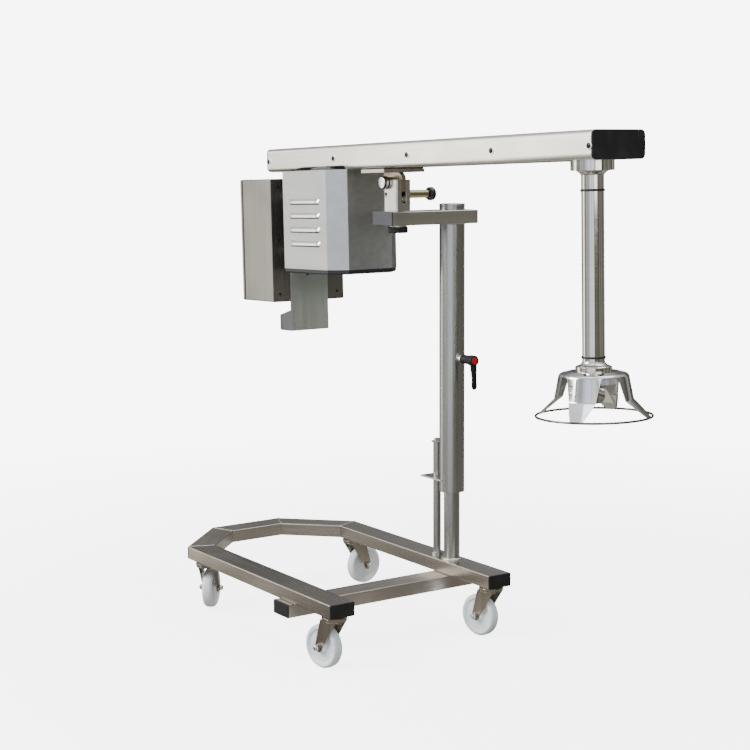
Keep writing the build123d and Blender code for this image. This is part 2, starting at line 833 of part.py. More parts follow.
arm_length = arm_nose + arm_tail
with BuildPart() as arm_beam:
    with BuildSketch(tail_end):
        RectangleRounded(arm_width, arm_height, arm_corner)
        RectangleRounded(
            arm_width - 2 * arm_wall, arm_height - 2 * arm_wall, arm_corner - arm_wall, mode=Mode.SUBTRACT
        )
    extrude(amount=-arm_length)
    with BuildSketch(arm_plan):
        with Locations(motor_centre):
            Circle(motor_flange_diameter * 0.2)
        with Locations(tool_centre):
            Circle(shaft_hole)
    extrude(amount=arm_wall, mode=Mode.SUBTRACT)
save("arm_beam", arm_beam, on_arm=True)

arm_cap_sizes = (arm_width, arm_height, arm_wall, arm_corner, arm_cap_thickness, arm_cap_insert)
arm_caps = [tube_cap(plane, *arm_cap_sizes) for plane in (arm_end, tail_end)]
with BuildPart() as arm_end_caps:
    add(arm_caps)
save("arm_end_caps", arm_end_caps, on_arm=True)

screw_pitch = (arm_length - 2 * screw_from_end) / (screw_columns - 1)
screw_places = [
    (screw_from_end - arm_tail + screw_pitch * column, screw_height) for column in range(screw_columns)
]
with BuildPart() as arm_screws:
    for facing in (-1, 1):
        wall_y = arm_y + facing * arm_width / 2
        side = Plane((0, wall_y, arm_bottom), x_dir=(-facing, 0, 0), z_dir=(0, facing, 0))
        with BuildSketch(side):
            with Locations([(-facing * x, z) for x, z in screw_places]):
                Circle(screw_diameter / 2)
        extrude(amount=screw_head)
    for outermost in (0, -1):
        crowns = arm_screws.faces().filter_by(Axis.Y).group_by(Axis.Y)[outermost]
        chamfer(crowns.edges(), length=screw_head * 0.5)
save("arm_screws", arm_screws, on_arm=True)

plate_top = -tilt_pad_thickness
plate_under = plate_top - tilt_plate_thickness
with BuildPart() as tilt_pad:
    with BuildSketch(arm_plan.offset(-tilt_pad_thickness)):
        with Locations((pin_x, 0)):
            Rectangle(tilt_plate_length - 2 * tilt_pad_inset, tilt_plate_width - 2 * tilt_pad_inset)
    extrude(amount=tilt_pad_thickness)
save("tilt_pad", tilt_pad, on_arm=True)

with BuildPart() as tilt_plate:
    with BuildSketch(arm_plan.offset(plate_under)):
        with Locations((pin_x, 0)):
            RectangleRounded(tilt_plate_length, tilt_plate_width, tilt_plate_corner)
    extrude(amount=tilt_plate_thickness)
save("tilt_plate", tilt_plate, on_arm=True)

tongue_width = clevis_slot - 2 * tongue_clearance
tongue_top = pin_below_arm + plate_under
quadrant_radius = plunger_drop + quadrant_margin
tongue_side = pin_side.offset(-tongue_width / 2)
stop_path = CenterArc((0, 0), plunger_drop, start_angle=-90 - rest_tilt, arc_size=-tilt_range)
with BuildPart() as tilt_tongue:
    with BuildSketch(tongue_side) as tongue_outline:
        with BuildLine():
            Polyline(
                (-tongue_front * 0.5, tongue_top),
                (tongue_front, tongue_top),
                (tongue_front, -tongue_bottom),
                (quadrant_radius * 0.5, -tongue_bottom),
                (0, 0),
                (-tongue_front * 0.5, tongue_top),
            )
        make_face()
        front_corners = tongue_outline.vertices().group_by(Axis.X)[-1]
        fillet(front_corners.sort_by(Axis.Y)[-1], radius=tongue_top_radius)
        Circle(quadrant_radius)
        with Locations((0, tongue_top)):
            Rectangle(4 * tongue_front, tongue_front, align=(Align.CENTER, Align.MIN), mode=Mode.SUBTRACT)
    extrude(amount=tongue_width)
    with BuildSketch(tongue_side):
        Circle(pin_diameter / 2 + pin_clearance)
        SlotArc(stop_path, plunger_pin_diameter + 2 * plunger_pin_clearance)
    extrude(amount=tongue_width, mode=Mode.SUBTRACT)
save("tilt_tongue", tilt_tongue, on_arm=True)

# ---------------------------------------------------------------- motor housing and drive
half_housing = housing_width / 2
housing_bottom = -housing_depth


def housing_outline(inset):
    """Plan of the housing: square at the back, both front corners cut at 45 degrees."""
    corner = housing_chamfer + inset * (math.sqrt(2) - 1) - inset
    Polyline(
        (inset - housing_back, inset - half_housing),
        (-housing_front - inset - corner, inset - half_housing),
        (-housing_front - inset, inset - half_housing + corner),
        (-housing_front - inset, half_housing - inset - corner),
        (-housing_front - inset - corner, half_housing - inset),
        (inset - housing_back, half_housing - inset),
        close=True,
    )


with BuildPart() as motor_housing:
    with BuildSketch(arm_plan):
        with BuildLine():
            housing_outline(0)
        make_face()
    extrude(amount=-housing_depth)
    with BuildSketch(arm_plan):
        with BuildLine():
            housing_outline(housing_wall)
        make_face()
    extrude(amount=-housing_depth, mode=Mode.SUBTRACT)
    for facing in (-1, 1):
        wall_y = arm_y + facing * half_housing
        corner = (louvre_from_back - housing_back, wall_y, arm_bottom)
        hood_start = Plane(corner, x_dir=(0, facing, 0), z_dir=(1, 0, 0))
        sense = 1 if facing > 0 else -1
        for row in range(louvre_count):
            top = sense * (-louvre_first_drop - louvre_pitch * row + louvre_height / 2)
            foot = top - sense * louvre_height
            with BuildSketch(hood_start):
                with BuildLine():
                    Polyline((-housing_wall, foot), (-housing_wall, top), (0, top))
                    shoulder = (louvre_depth * 0.8, top - sense * louvre_height * 0.45)
                    ThreePointArc((0, top), shoulder, (louvre_depth, foot))
                    Line((louvre_depth, foot), (-housing_wall, foot))
                make_face()
            extrude(amount=louvre_length)
            with BuildSketch(hood_start.offset(housing_wall)):
                with BuildLine():
                    inside = louvre_depth - housing_wall * 0.7
                    crown = top - sense * housing_wall
                    Polyline((-2 * housing_wall, foot), (-2 * housing_wall, crown), (0, crown))
                    shoulder = (inside * 0.8, crown - sense * louvre_height * 0.4)
                    ThreePointArc((0, crown), shoulder, (inside, foot))
                    Line((inside, foot), (-2 * housing_wall, foot))
                make_face()
            extrude(amount=louvre_length - 2 * housing_wall, mode=Mode.SUBTRACT)
save("motor_housing", motor_housing, on_arm=True)

with BuildPart() as housing_base:
    with BuildSketch(arm_plan.offset(housing_bottom)):
        with BuildLine():
            housing_outline(housing_base_inset)
        make_face()
    extrude(amount=-housing_base_thickness)
    chamfer(housing_base.faces().sort_by(Axis.Z)[0].edges(), length=housing_base_thickness * 0.3)
save("housing_base", housing_base, on_arm=True)

shaft_bore = drive_shaft_diameter / 2 + shaft_clearance
with BuildPart() as motor:
    with BuildSketch(arm_plan):
        with Locations(motor_centre):
            Circle(motor_flange_diameter / 2)
    extrude(amount=-motor_flange_thickness)
    with BuildSketch(arm_plan.offset(-motor_flange_thickness)):
        with Locations(motor_centre):
            Circle(motor_diameter / 2)
            with PolarLocations(motor_diameter / 2, motor_fin_count):
                Rectangle(2 * motor_fin_depth, motor_fin_depth, mode=Mode.SUBTRACT)
    extrude(amount=-motor_length)
    with BuildSketch(arm_plan):
        with Locations(motor_centre):
            Circle(shaft_bore)
    extrude(amount=-(motor_flange_thickness + pulley_width), mode=Mode.SUBTRACT)
save("motor", motor, on_arm=True)

pulley_radius = pulley_pitch_diameter / 2
pulley_bottom = (arm_height - pulley_width) / 2
pulley_groove = (pulley_width - belt_width) / 2 - belt_clearance


def pulley_profile(bore_bottom, shaft_top, shaft_radius):
    """Half section of a flanged pulley on its shaft, in radius and height above the arm's underside."""
    Polyline(
        (0, bore_bottom),
        (shaft_radius, bore_bottom),
        (shaft_radius, pulley_bottom),
        (pulley_radius + pulley_flange_step, pulley_bottom),
        (pulley_radius + pulley_flange_step, pulley_bottom + pulley_groove),
        (pulley_radius, pulley_bottom + pulley_groove),
        (pulley_radius, pulley_bottom + pulley_width - pulley_groove),
        (pulley_radius + pulley_flange_step, pulley_bottom + pulley_width - pulley_groove),
        (pulley_radius + pulley_flange_step, pulley_bottom + pulley_width),
        (shaft_radius, pulley_bottom + pulley_width),
        (shaft_radius, shaft_top),
        (0, shaft_top),
        close=True,
    )


shaft_top = pulley_bottom + pulley_width + pulley_flange
motor_shaft_depth = motor_flange_thickness + pulley_width / 2
motor_plane = Plane((motor_x, arm_y, arm_bottom), x_dir=(1, 0, 0), z_dir=(0, -1, 0))
with BuildPart() as drive_pulley:
    with BuildSketch(motor_plane):
        with BuildLine():
            pulley_profile(-motor_shaft_depth, shaft_top, drive_shaft_diameter / 2)
        make_face()
    revolve(axis=Axis((motor_x, arm_y, arm_bottom), (0, 0, 1)))
save("drive_pulley", drive_pulley, on_arm=True)

belt_inner = pulley_radius + belt_clearance
belt_span = tool_reach - motor_x
with BuildPart() as drive_belt:
    with BuildSketch(arm_plan.offset(pulley_bottom + pulley_groove + belt_clearance)):
        with Locations(((tool_reach + motor_x) / 2, 0)):
            SlotCenterToCenter(belt_span, 2 * (belt_inner + belt_thickness))
            SlotCenterToCenter(belt_span, 2 * belt_inner, mode=Mode.SUBTRACT)
    extrude(amount=belt_width)
save("drive_belt", drive_belt, on_arm=True)

# ---------------------------------------------------------------- control box
box_back = box_front + box_depth
box_middle = -(box_front + box_back) / 2
box_top = -box_top_drop
box_plan = arm_plan.offset(box_top)
box_bottom = box_top - box_height
gland_place = (-(box_back - gland_inset), gland_side)
with BuildPart() as control_box:
    with BuildSketch(box_plan):
        with Locations((box_middle, 0)):
            Rectangle(box_depth, box_width)
    extrude(amount=-box_height)
    fillet(control_box.edges().filter_by(Axis.X), radius=box_corner)
    with BuildSketch(box_plan.offset(-box_wall)):
        with Locations((-box_back - box_wall, 0)):
            Rectangle(box_depth, box_width - 2 * box_wall, align=(Align.MIN, Align.CENTER))
    extrude(amount=-(box_height - 2 * box_wall), mode=Mode.SUBTRACT)
    with BuildSketch(arm_plan.offset(box_bottom)):
        with Locations(gland_place):
            Circle(gland_diameter / 2 - gland_thread_inset)
    extrude(amount=2 * box_wall, mode=Mode.SUBTRACT)
save("control_box", control_box, on_arm=True)

lid_centre = (-box_back, arm_y, arm_bottom + box_top - box_height / 2)
lid_plane = Plane(lid_centre, x_dir=(0, -1, 0), z_dir=(-1, 0, 0))
control_rows = [box_height / 2 - control_drop - control_spacing * row for row in range(3)]
stem_hole = control_stem_diameter / 2 + control_gap
with BuildPart() as control_lid:
    with BuildSketch(lid_plane):
        RectangleRounded(box_width, box_height, box_corner)
    extrude(amount=lid_thickness)
    chamfer(control_lid.faces().sort_by(Axis.X)[0].edges(), length=lid_thickness * 0.25)
    with BuildSketch(lid_plane):
        Rectangle(box_width - 8 * box_wall, box_height - 8 * box_wall)
    extrude(amount=lid_thickness - 2 * box_wall, mode=Mode.SUBTRACT)
    with BuildSketch(lid_plane):
        with Locations([(0, row) for row in control_rows]):
            Circle(stem_hole)
    extrude(amount=lid_thickness, mode=Mode.SUBTRACT)
save("control_lid", control_lid, on_arm=True)

lid_face = lid_plane.offset(lid_thickness)
stem_length = lid_thickness + control_stem_inside


def control(name, row, cap_diameter, cap_height, lift, rounding):
    """A push button or knob: a cap over the lid with its stem through the lid."""
    with BuildPart() as piece:
        with BuildSketch(lid_face.offset(lift)):
            with Locations((0, control_rows[row])):
                Circle(cap_diameter / 2)
        extrude(amount=cap_height)
        fillet(piece.faces().filter_by(Axis.X).sort_by(Axis.X)[0].edges(), radius=rounding)
        with BuildSketch(lid_face.offset(lift)):
            with Locations((0, control_rows[row])):
                Circle(control_stem_diameter / 2)
        extrude(amount=-stem_length)
    save(name, piece, on_arm=True)


button_lift = control_travel + control_gap
control("stop_button", 0, mushroom_diameter, mushroom_height, button_lift, mushroom_height * 0.3)
control("start_button", 1, push_button_diameter, push_button_height, button_lift, control_rounding)
control("speed_dial", 2, dial_diameter, dial_height, control_gap, control_rounding)

half_box = box_width / 2
screw_plane = Plane((-box_front, arm_y, arm_bottom), x_dir=(0, 1, 0), z_dir=(1, 0, 0))
with BuildPart() as box_screws:
    with BuildSketch(screw_plane):
        for y in (box_screw_inset - half_box, half_box - box_screw_inset):
            for z in (box_top - box_screw_inset, box_bottom + box_screw_inset):
                with Locations((y, z)):
                    Circle(box_screw_diameter / 2)
    extrude(amount=box_screw_head)
save("box_screws", box_screws, on_arm=True)

with BuildPart() as box_spacers:
    with BuildSketch(screw_plane):
        for y in (-spacer_spread / 2, spacer_spread / 2):
            for z in (-spacer_upper_drop, -spacer_lower_drop):
                with Locations((y, z)):
                    Circle(spacer_diameter / 2)
    extrude(amount=box_front - housing_back)
save("box_spacers", box_spacers, on_arm=True)

half_hook = hook_width / 2
cheek_plane = Plane((-box_front, arm_y, arm_bottom), x_dir=(-1, 0, 0), z_dir=(0, 1, 0))
with BuildPart() as cable_hook:
    with BuildSketch(screw_plane):
        with Locations((0, -(hook_top_drop + hook_bottom_drop) / 2)):
            RectangleRounded(hook_width, hook_bottom_drop - hook_top_drop, hook_plate_thickness)
        with Locations((0, -hook_top_drop - hook_slot_drop)):
            SlotOverall(hook_slot_length, hook_slot_width, rotation=hook_slot_turn, mode=Mode.SUBTRACT)
    extrude(amount=hook_plate_thickness)
    with BuildSketch(cheek_plane.offset(-half_hook)) as cheek:
        with BuildLine():
            Polyline(
                (0, hook_cheek_height - hook_bottom_drop),
                (hook_cheek_depth, hook_cheek_front_height - hook_bottom_drop),
                (hook_cheek_depth, -hook_bottom_drop),
                (0, -hook_bottom_drop),
                close=True,
            )
        make_face()
        fillet(cheek.vertices().group_by(Axis.X)[-1], radius=hook_rounding)
    extrude(amount=hook_width)
    with BuildSketch(cheek_plane.offset(hook_plate_thickness - half_hook)):
        with Locations((0, hook_plate_thickness - hook_bottom_drop)):
            Rectangle(
                hook_cheek_depth - hook_plate_thickness, 2 * hook_cheek_height, align=(Align.MIN, Align.MIN)
            )
        with Locations((0, hook_plate_thickness + hook_lip - hook_bottom_drop)):
            Rectangle(2 * hook_cheek_depth, 2 * hook_cheek_height, align=(Align.MIN, Align.MIN))
    extrude(amount=hook_width - 2 * hook_plate_thickness, mode=Mode.SUBTRACT)
save("cable_hook", cable_hook, on_arm=True)

with BuildPart() as cable_gland:
    with BuildSketch(arm_plan.offset(box_bottom)):
        with Locations(gland_place):
            RegularPolygon(gland_diameter / 2, 6, major_radius=False)
    extrude(amount=-gland_length * 0.35)
    with BuildSketch(arm_plan.offset(box_bottom)):
        with Locations(gland_place):
            Circle(gland_diameter / 2 - gland_dome_inset)
    extrude(amount=-gland_length, taper=6)
    with BuildSketch(arm_plan.offset(box_bottom)):
        with Locations(gland_place):
            Circle(gland_diameter / 2 - gland_thread_inset)
    extrude(amount=gland_thread_length)
    with BuildSketch(arm_plan.offset(box_bottom + gland_thread_length)):
        with Locations(gland_place):
            Circle(gland_bore / 2)
    extrude(amount=-gland_thread_length - gland_length, mode=Mode.SUBTRACT)
save("cable_gland", cable_gland, on_arm=True)

# ---------------------------------------------------------------- mixing tool
tool_axis = Axis((tool_reach, arm_y, arm_bottom), (0, 0, 1))
tool_section = Plane((tool_reach, arm_y, arm_bottom), x_dir=(1, 0, 0), z_dir=(0, -1, 0))
neck_bottom = -flange_thickness - neck_length
collar_bottom = -collar_top - collar_height
with BuildPart() as tool_tube:
    with BuildSketch(tool_section):
        with BuildLine():
            Polyline(
                (shaft_hole, 0),
                (flange_diameter / 2, 0),
                (flange_diameter / 2, -flange_thickness),
                (flange_under_radius, -flange_thickness),
            )
            ThreePointArc(
                (flange_under_radius, -flange_thickness),
                (tube_radius + neck_flare, neck_bottom + neck_length * 0.45),
                (tube_radius, neck_bottom),
            )
            Polyline((tube_radius, neck_bottom), (tube_radius, -tube_end))
            ThreePointArc(
                (tube_radius, -tube_end),
                (tube_radius + neck_flare, -(tube_end + (collar_top - tube_end) * 0.6)),
                (collar_flare_radius, -collar_top),
            )
            Polyline(
                (collar_flare_radius, -collar_top),
                (collar_diameter / 2, -collar_top - collar_edge),
                (collar_diameter / 2, collar_bottom),
                (shaft_hole, collar_bottom),
                (shaft_hole, 0),
            )
        make_face()
    revolve(axis=tool_axis)
    with BuildSketch(tool_section):
        with Locations([(tube_radius, -drop) for drop in seal_drops]):
            Rectangle(2 * seal_groove, seal_section)
    revolve(axis=tool_axis, mode=Mode.SUBTRACT)
save("tool_tube", tool_tube, on_arm=True)

with BuildPart() as tool_seals:
    with BuildSketch(tool_section):
        with Locations([(tube_radius, -drop) for drop in seal_drops]):
            Rectangle(2 * seal_groove, seal_section)
    revolve(axis=tool_axis)
save("tool_seals", tool_seals, on_arm=True)

with BuildPart() as shaft_guide:
    with BuildSketch(arm_plan.offset(collar_bottom)):
        with Locations(tool_centre):
            Circle(shaft_hole)
            Circle(shaft_diameter / 2 + shaft_clearance, mode=Mode.SUBTRACT)
    extrude(amount=shaft_guide_length)
save("shaft_guide", shaft_guide, on_arm=True)


def window_half_width(radius, leg_width):
    """Half the opening between two legs of the given width, where the bell has this radius."""
    return radius * math.sin(math.pi / leg_count - math.asin(leg_width / 2 / radius))


with BuildPart() as tool_cage:
    with BuildSketch(tool_section):
        with BuildLine() as shell_line:
            FilletPolyline(
                (shaft_diameter, collar_bottom - cage_wall / 2),
                (cage_shoulder_radius * 0.72, collar_bottom - cage_wall / 2),
                (cage_shoulder_radius, -cage_shoulder_drop),
                (cage_knee_radius, -cage_knee_drop),
                (ring_radius, -ring_drop),
                radius=cage_bend_radius,
            )
        trace(line_width=cage_wall)
    revolve(axis=tool_axis)
    for leg in range(leg_count):
        heading = math.radians(leg_heading + (leg + 0.5) * 360 / leg_count)
        outward = Vector(math.cos(heading), math.sin(heading), 0)
        window = Plane((tool_reach, arm_y, arm_bottom), x_dir=(-outward.Y, outward.X, 0), z_dir=outward)
        top_half = window_half_width(cage_shoulder_radius, leg_top_width)
        knee_half = window_half_width(cage_knee_radius, leg_knee_width)
        foot_half = window_half_width(ring_radius, leg_foot_width)
        with BuildSketch(window) as opening:
            with BuildLine():
                Polyline(
                    (-foot_half, -ring_drop - ring_section),
                    (-foot_half, -ring_drop),
                    (-knee_half, -cage_knee_drop),
                    (-top_half, -window_top_drop - window_shoulder),
                    (-top_half, -window_top_drop),
                    (top_half, -window_top_drop),
                    (top_half, -window_top_drop - window_shoulder),
                    (knee_half, -cage_knee_drop),
                    (foot_half, -ring_drop),
                    (foot_half, -ring_drop - ring_section),
                    close=True,
                )
            make_face()
            fillet(opening.vertices().group_by(Axis.Y)[-1], radius=window_corner)
        extrude(amount=2 * ring_radius, mode=Mode.SUBTRACT)
save("tool_cage", tool_cage, on_arm=True)

with BuildPart() as cage_ring:
    with BuildSketch(tool_section):
        with Locations((ring_radius + ring_past_foot, -ring_drop)):
            Circle(ring_section / 2)
    revolve(axis=tool_axis)
save("cage_ring", cage_ring, on_arm=True)

blade_bottom_drop = blade_top_drop + blade_height
with BuildPart() as tool_rotor:
    with BuildSketch(tool_section):
        with BuildLine():
            pulley_profile(-blade_bottom_drop, shaft_top, shaft_diameter / 2)
        make_face()
    revolve(axis=tool_axis)
    with BuildSketch(arm_plan.offset(-blade_bottom_drop)):
        with Locations(tool_centre):
            Circle(blade_hub_diameter / 2)
    extrude(amount=blade_height)
    for blade in range(blade_count):
        heading = math.radians(360 / blade_count * blade)
        radial = Vector(math.cos(heading), math.sin(heading), 0)
        middle = Vector(tool_reach, arm_y, arm_bottom - blade_top_drop - blade_height / 2)
        face = Vector(-radial.Y, radial.X, 0).rotate(Axis((0, 0, 0), radial), blade_pitch)
        with BuildSketch(Plane(middle, x_dir=radial, z_dir=face).offset(-blade_thickness / 2)):
            with Locations((blade_hub_diameter * 0.4, 0)):
                Rectangle(
                    blade_radius - blade_hub_diameter * 0.4, blade_height, align=(Align.MIN, Align.CENTER)
                )
        extrude(amount=blade_thickness)
save("tool_rotor", tool_rotor, on_arm=True)
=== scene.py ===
"""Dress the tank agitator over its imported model: finishes, mouldings, castors, welds and fittings.

Every length is in metres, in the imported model's own frame: the origin on the floor below the column,
+X along the arm to the mixing tool, +Z up.
"""

import json
import logging
import math
from dataclasses import dataclass
from enum import Enum
from typing import Any, Sequence

import bmesh
import bpy
import numpy as np
from mathutils import Matrix, Vector

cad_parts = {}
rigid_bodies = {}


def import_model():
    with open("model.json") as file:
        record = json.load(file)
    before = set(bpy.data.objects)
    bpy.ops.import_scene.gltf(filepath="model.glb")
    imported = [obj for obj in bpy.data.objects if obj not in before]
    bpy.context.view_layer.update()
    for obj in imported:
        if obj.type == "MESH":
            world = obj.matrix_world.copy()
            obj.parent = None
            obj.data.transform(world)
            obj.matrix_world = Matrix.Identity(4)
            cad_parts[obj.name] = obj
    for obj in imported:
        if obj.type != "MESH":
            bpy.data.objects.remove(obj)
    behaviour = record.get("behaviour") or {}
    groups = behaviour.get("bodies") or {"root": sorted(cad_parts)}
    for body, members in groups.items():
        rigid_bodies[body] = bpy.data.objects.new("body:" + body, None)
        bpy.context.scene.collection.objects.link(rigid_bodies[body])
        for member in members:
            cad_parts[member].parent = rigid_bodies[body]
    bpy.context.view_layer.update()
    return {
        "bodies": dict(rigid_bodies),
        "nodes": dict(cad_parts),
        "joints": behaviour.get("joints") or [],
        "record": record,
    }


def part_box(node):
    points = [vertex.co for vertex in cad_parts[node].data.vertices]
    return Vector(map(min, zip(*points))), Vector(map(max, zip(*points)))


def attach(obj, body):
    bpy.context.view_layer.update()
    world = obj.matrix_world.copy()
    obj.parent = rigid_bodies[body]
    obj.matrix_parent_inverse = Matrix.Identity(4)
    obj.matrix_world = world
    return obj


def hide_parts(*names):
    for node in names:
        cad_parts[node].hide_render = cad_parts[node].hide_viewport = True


LOG = logging.getLogger("agitator")
TURN = 2 * math.pi
Array = np.ndarray
Numbers = Sequence[float]
Point = tuple[float, float, float]
Colour = tuple[float, float, float]
Object = bpy.types.Object
Material = bpy.types.Material
NodeTree = bpy.types.NodeTree
Node = bpy.types.Node
Socket = bpy.types.NodeSocket
NUMBER, VECTOR, COLOUR = "NodeSocketFloat", "NodeSocketVector", "NodeSocketColor"


# ---------------------------------------------------------------- axes and surfaces
def unit(vector: Numbers) -> Array:
    """Return the vector at length one, as an array."""
    whole = np.asarray(vector, float)
    return whole / np.linalg.norm(whole)


@dataclass(frozen=True)
class Axes:
    """Right-handed axes in the row frame, on which a piece is worked out.

    Args:
        origin: where they stand.
        x, y, z: unit vectors.
    """

    origin: Array
    x: Array
    y: Array
    z: Array

    @classmethod
    def along(cls, origin: Numbers, z: Numbers, towards: Numbers = (0, 0, 1)) -> "Axes":
        """Build axes from their z and a direction that x leans towards.

        Args:
            origin: where the axes stand.
            z: the direction of their z.
            towards: a direction not parallel to z.

        Returns:
            The axes.
        """
        up = unit(z)
        side = unit(np.asarray(towards, float) - up * np.dot(towards, up))
        return cls(np.asarray(origin, float), side, np.cross(up, side), up)

    def out(self, points: Array) -> Array:
        """Turn points on these axes into points of the row frame."""
        return self.origin + points[..., :1] * self.x + points[..., 1:2] * self.y + points[..., 2:3] * self.z

    def shifted(self, x: float = 0, y: float = 0, z: float = 0) -> "Axes":
        """Return the same axes with their origin moved along themselves."""
        return Axes(self.out(np.array([x, y, z], float)), self.x, self.y, self.z)

    def span(self, node: Object) -> tuple[Array, Array]:
        """Return the lowest and highest corner of a node on these axes."""
        flat = np.empty(len(node.data.vertices) * 3)
        node.data.vertices.foreach_get("co", flat)
        here = (flat.reshape(-1, 3) - self.origin) @ np.stack([self.x, self.y, self.z], axis=1)
        return here.min(axis=0), here.max(axis=0)


WORLD_AXES = Axes.along((0, 0, 0), (0, 0, 1), (1, 0, 0))


def lathe(outline: Array, turns: int = 96) -> Array:
    """Turn an outline of (radius, height) about z.

    Point (i, j) is (r_i cos a_j, r_i sin a_j, h_i), with a_j stepping once round.

    Args:
        outline: radius and height of each point.
        turns: steps round the axis.

    Returns:
        A grid of points, outline by turns.
    """
    angle = np.linspace(0, TURN, turns, endpoint=False)
    radius = outline[:, :1]
    height = np.repeat(outline[:, 1:], turns, axis=1)
    return np.stack([radius * np.cos(angle), radius * np.sin(angle), height], axis=-1)


def soften(corners: Sequence[Numbers], reach: float, steps: int = 5, closed: bool = True) -> Array:
    """Round the corners of an outline with quadratic curves.

    Each corner C becomes (1-t)^2 A + 2t(1-t) C + t^2 B, where A and B lie on its two sides, `reach` away
    or at most 45% along the side.

    Args:
        corners: the outline's corners, in a plane.
        reach: how far along each side the rounding starts.
        steps: points per corner.
        closed: whether the last corner joins the first.

    Returns:
        The rounded outline's points.
    """
    middle = np.asarray(corners, float)
    before = np.roll(middle, 1, axis=0) - middle
    after = np.roll(middle, -1, axis=0) - middle
    short = np.minimum(reach, 0.45 * np.linalg.norm(before, axis=1))[:, None]
    long = np.minimum(reach, 0.45 * np.linalg.norm(after, axis=1))[:, None]
    start = middle + before / np.linalg.norm(before, axis=1, keepdims=True) * short
    end = middle + after / np.linalg.norm(after, axis=1, keepdims=True) * long
    share = np.linspace(0, 1, steps)[None, :, None]
    leaving, reaching = (1 - share) ** 2 * start[:, None], share**2 * end[:, None]
    curve = leaving + 2 * share * (1 - share) * middle[:, None] + reaching
    if closed:
        return curve.reshape(-1, middle.shape[1])
    return np.vstack([middle[:1], curve[1:-1].reshape(-1, middle.shape[1]), middle[-1:]])


def carried(path: Array, section: Array, normal: Numbers) -> Array:
    """Carry a section along a path.

    Point (i, j) is path_i + u_j side_i + v_j normal, where side_i is the normal crossed with the path's
    direction at i.

    Args:
        path: the points that the section follows.
        section: (u, v) offsets, one row per point, or one such array per path point.
        normal: the direction that v runs along.

    Returns:
        A grid of points, path by section.
    """
    direction = np.gradient(path, axis=0)
    lift = np.broadcast_to(np.asarray(normal, float), path.shape)
    side = np.cross(lift, direction)
    side = side / np.linalg.norm(side, axis=1, keepdims=True)
    offsets = np.broadcast_to(section, (len(path),) + np.shape(section)[-2:])
    return path[:, None] + offsets[..., :1] * side[:, None] + offsets[..., 1:] * lift[:, None]


def hexagon(angle: Array, flat: float) -> Array:
    """Return a hexagon's radius at each angle a, f / cos(a mod 60 - 30 degrees), f reaching to its flats."""
    return flat / np.cos((angle % (TURN / 6)) - TURN / 12)


def grid_faces(rows: int, columns: int, wrap_rows: bool = False) -> Array:
    """Number the four corners of each cell of a grid of points whose last column joins its first.

    Args:
        rows, columns: the grid's size.
        wrap_rows: whether the last row joins the first as well.

    Returns:
        One row of four corner numbers per cell.
    """
    number = np.arange(rows * columns).reshape(rows, columns)
    if wrap_rows:
        number = np.vstack([number, number[:1]])
    number = np.hstack([number, number[:, :1]])
    cells = np.stack([number[:-1, :-1], number[:-1, 1:], number[1:, 1:], number[1:, :-1]], axis=-1)
    return cells.reshape(-1, 4)


@dataclass
class Shape:
    """A mesh being put together from grids of points."""

    points: list[Array]
    faces: list[Array]

    @classmethod
    def empty(cls) -> "Shape":
        """Return a shape with nothing in it."""
        return cls([], [])

    def add(self, grid: Array, wrap_rows: bool = False, ends: bool = False) -> "Shape":
        """Add a grid of points as a surface whose last column joins its first.

        Args:
            grid: rows by columns by three.
            wrap_rows: whether the last row joins the first as well.
            ends: whether the first and last rows are closed with a fan to their middle.

        Returns:
            The shape itself.
        """
        if ends:
            first = np.repeat(grid[:1].mean(axis=1, keepdims=True), grid.shape[1], axis=1)
            last = np.repeat(grid[-1:].mean(axis=1, keepdims=True), grid.shape[1], axis=1)
            grid = np.concatenate([first, grid, last])
        start = sum(len(block) for block in self.points)
        self.points.append(grid.reshape(-1, 3))
        self.faces.append(grid_faces(grid.shape[0], grid.shape[1], wrap_rows) + start)
        return self

    def put(self, name: str, body: str, finish: Material, crease: float = 35.0) -> Object:
        """Make the object, with merged seams and faces turned outwards, riding on a body.

        Args:
            name: the piece's name.
            body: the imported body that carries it.
            finish: its material.
            crease: edges sharper than this many degrees stay crisp.

        Returns:
            The new object.
        """
        mesh = bpy.data.meshes.new(name)
        mesh.from_pydata(np.vstack(self.points).tolist(), [], np.vstack(self.faces).tolist())
        work = bmesh.new()
        work.from_mesh(mesh)
        bmesh.ops.remove_doubles(work, verts=work.verts, dist=1e-6)
        bmesh.ops.dissolve_degenerate(work, edges=work.edges, dist=1e-6)
        bmesh.ops.recalc_face_normals(work, faces=work.faces)
        work.to_mesh(mesh)
        work.free()
        mesh.polygons.foreach_set("use_smooth", np.ones(len(mesh.polygons), bool))
        mesh.set_sharp_from_angle(angle=math.radians(crease))
        mesh.materials.append(finish)
        piece = bpy.data.objects.new(name, mesh)
        bpy.context.scene.collection.objects.link(piece)
        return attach(piece, body)


def turned(axes: Axes, outline: Array, turns: int = 96) -> Shape:
    """Return a shape turned on axes, from an outline that starts and ends on them."""
    return Shape.empty().add(axes.out(lathe(outline, turns)))


def hooped(axes: Axes, outline: Array, turns: int = 96) -> Shape:
    """Return a ring turned on axes, from an outline that closes on itself."""
    return Shape.empty().add(axes.out(lathe(outline, turns)), wrap_rows=True)


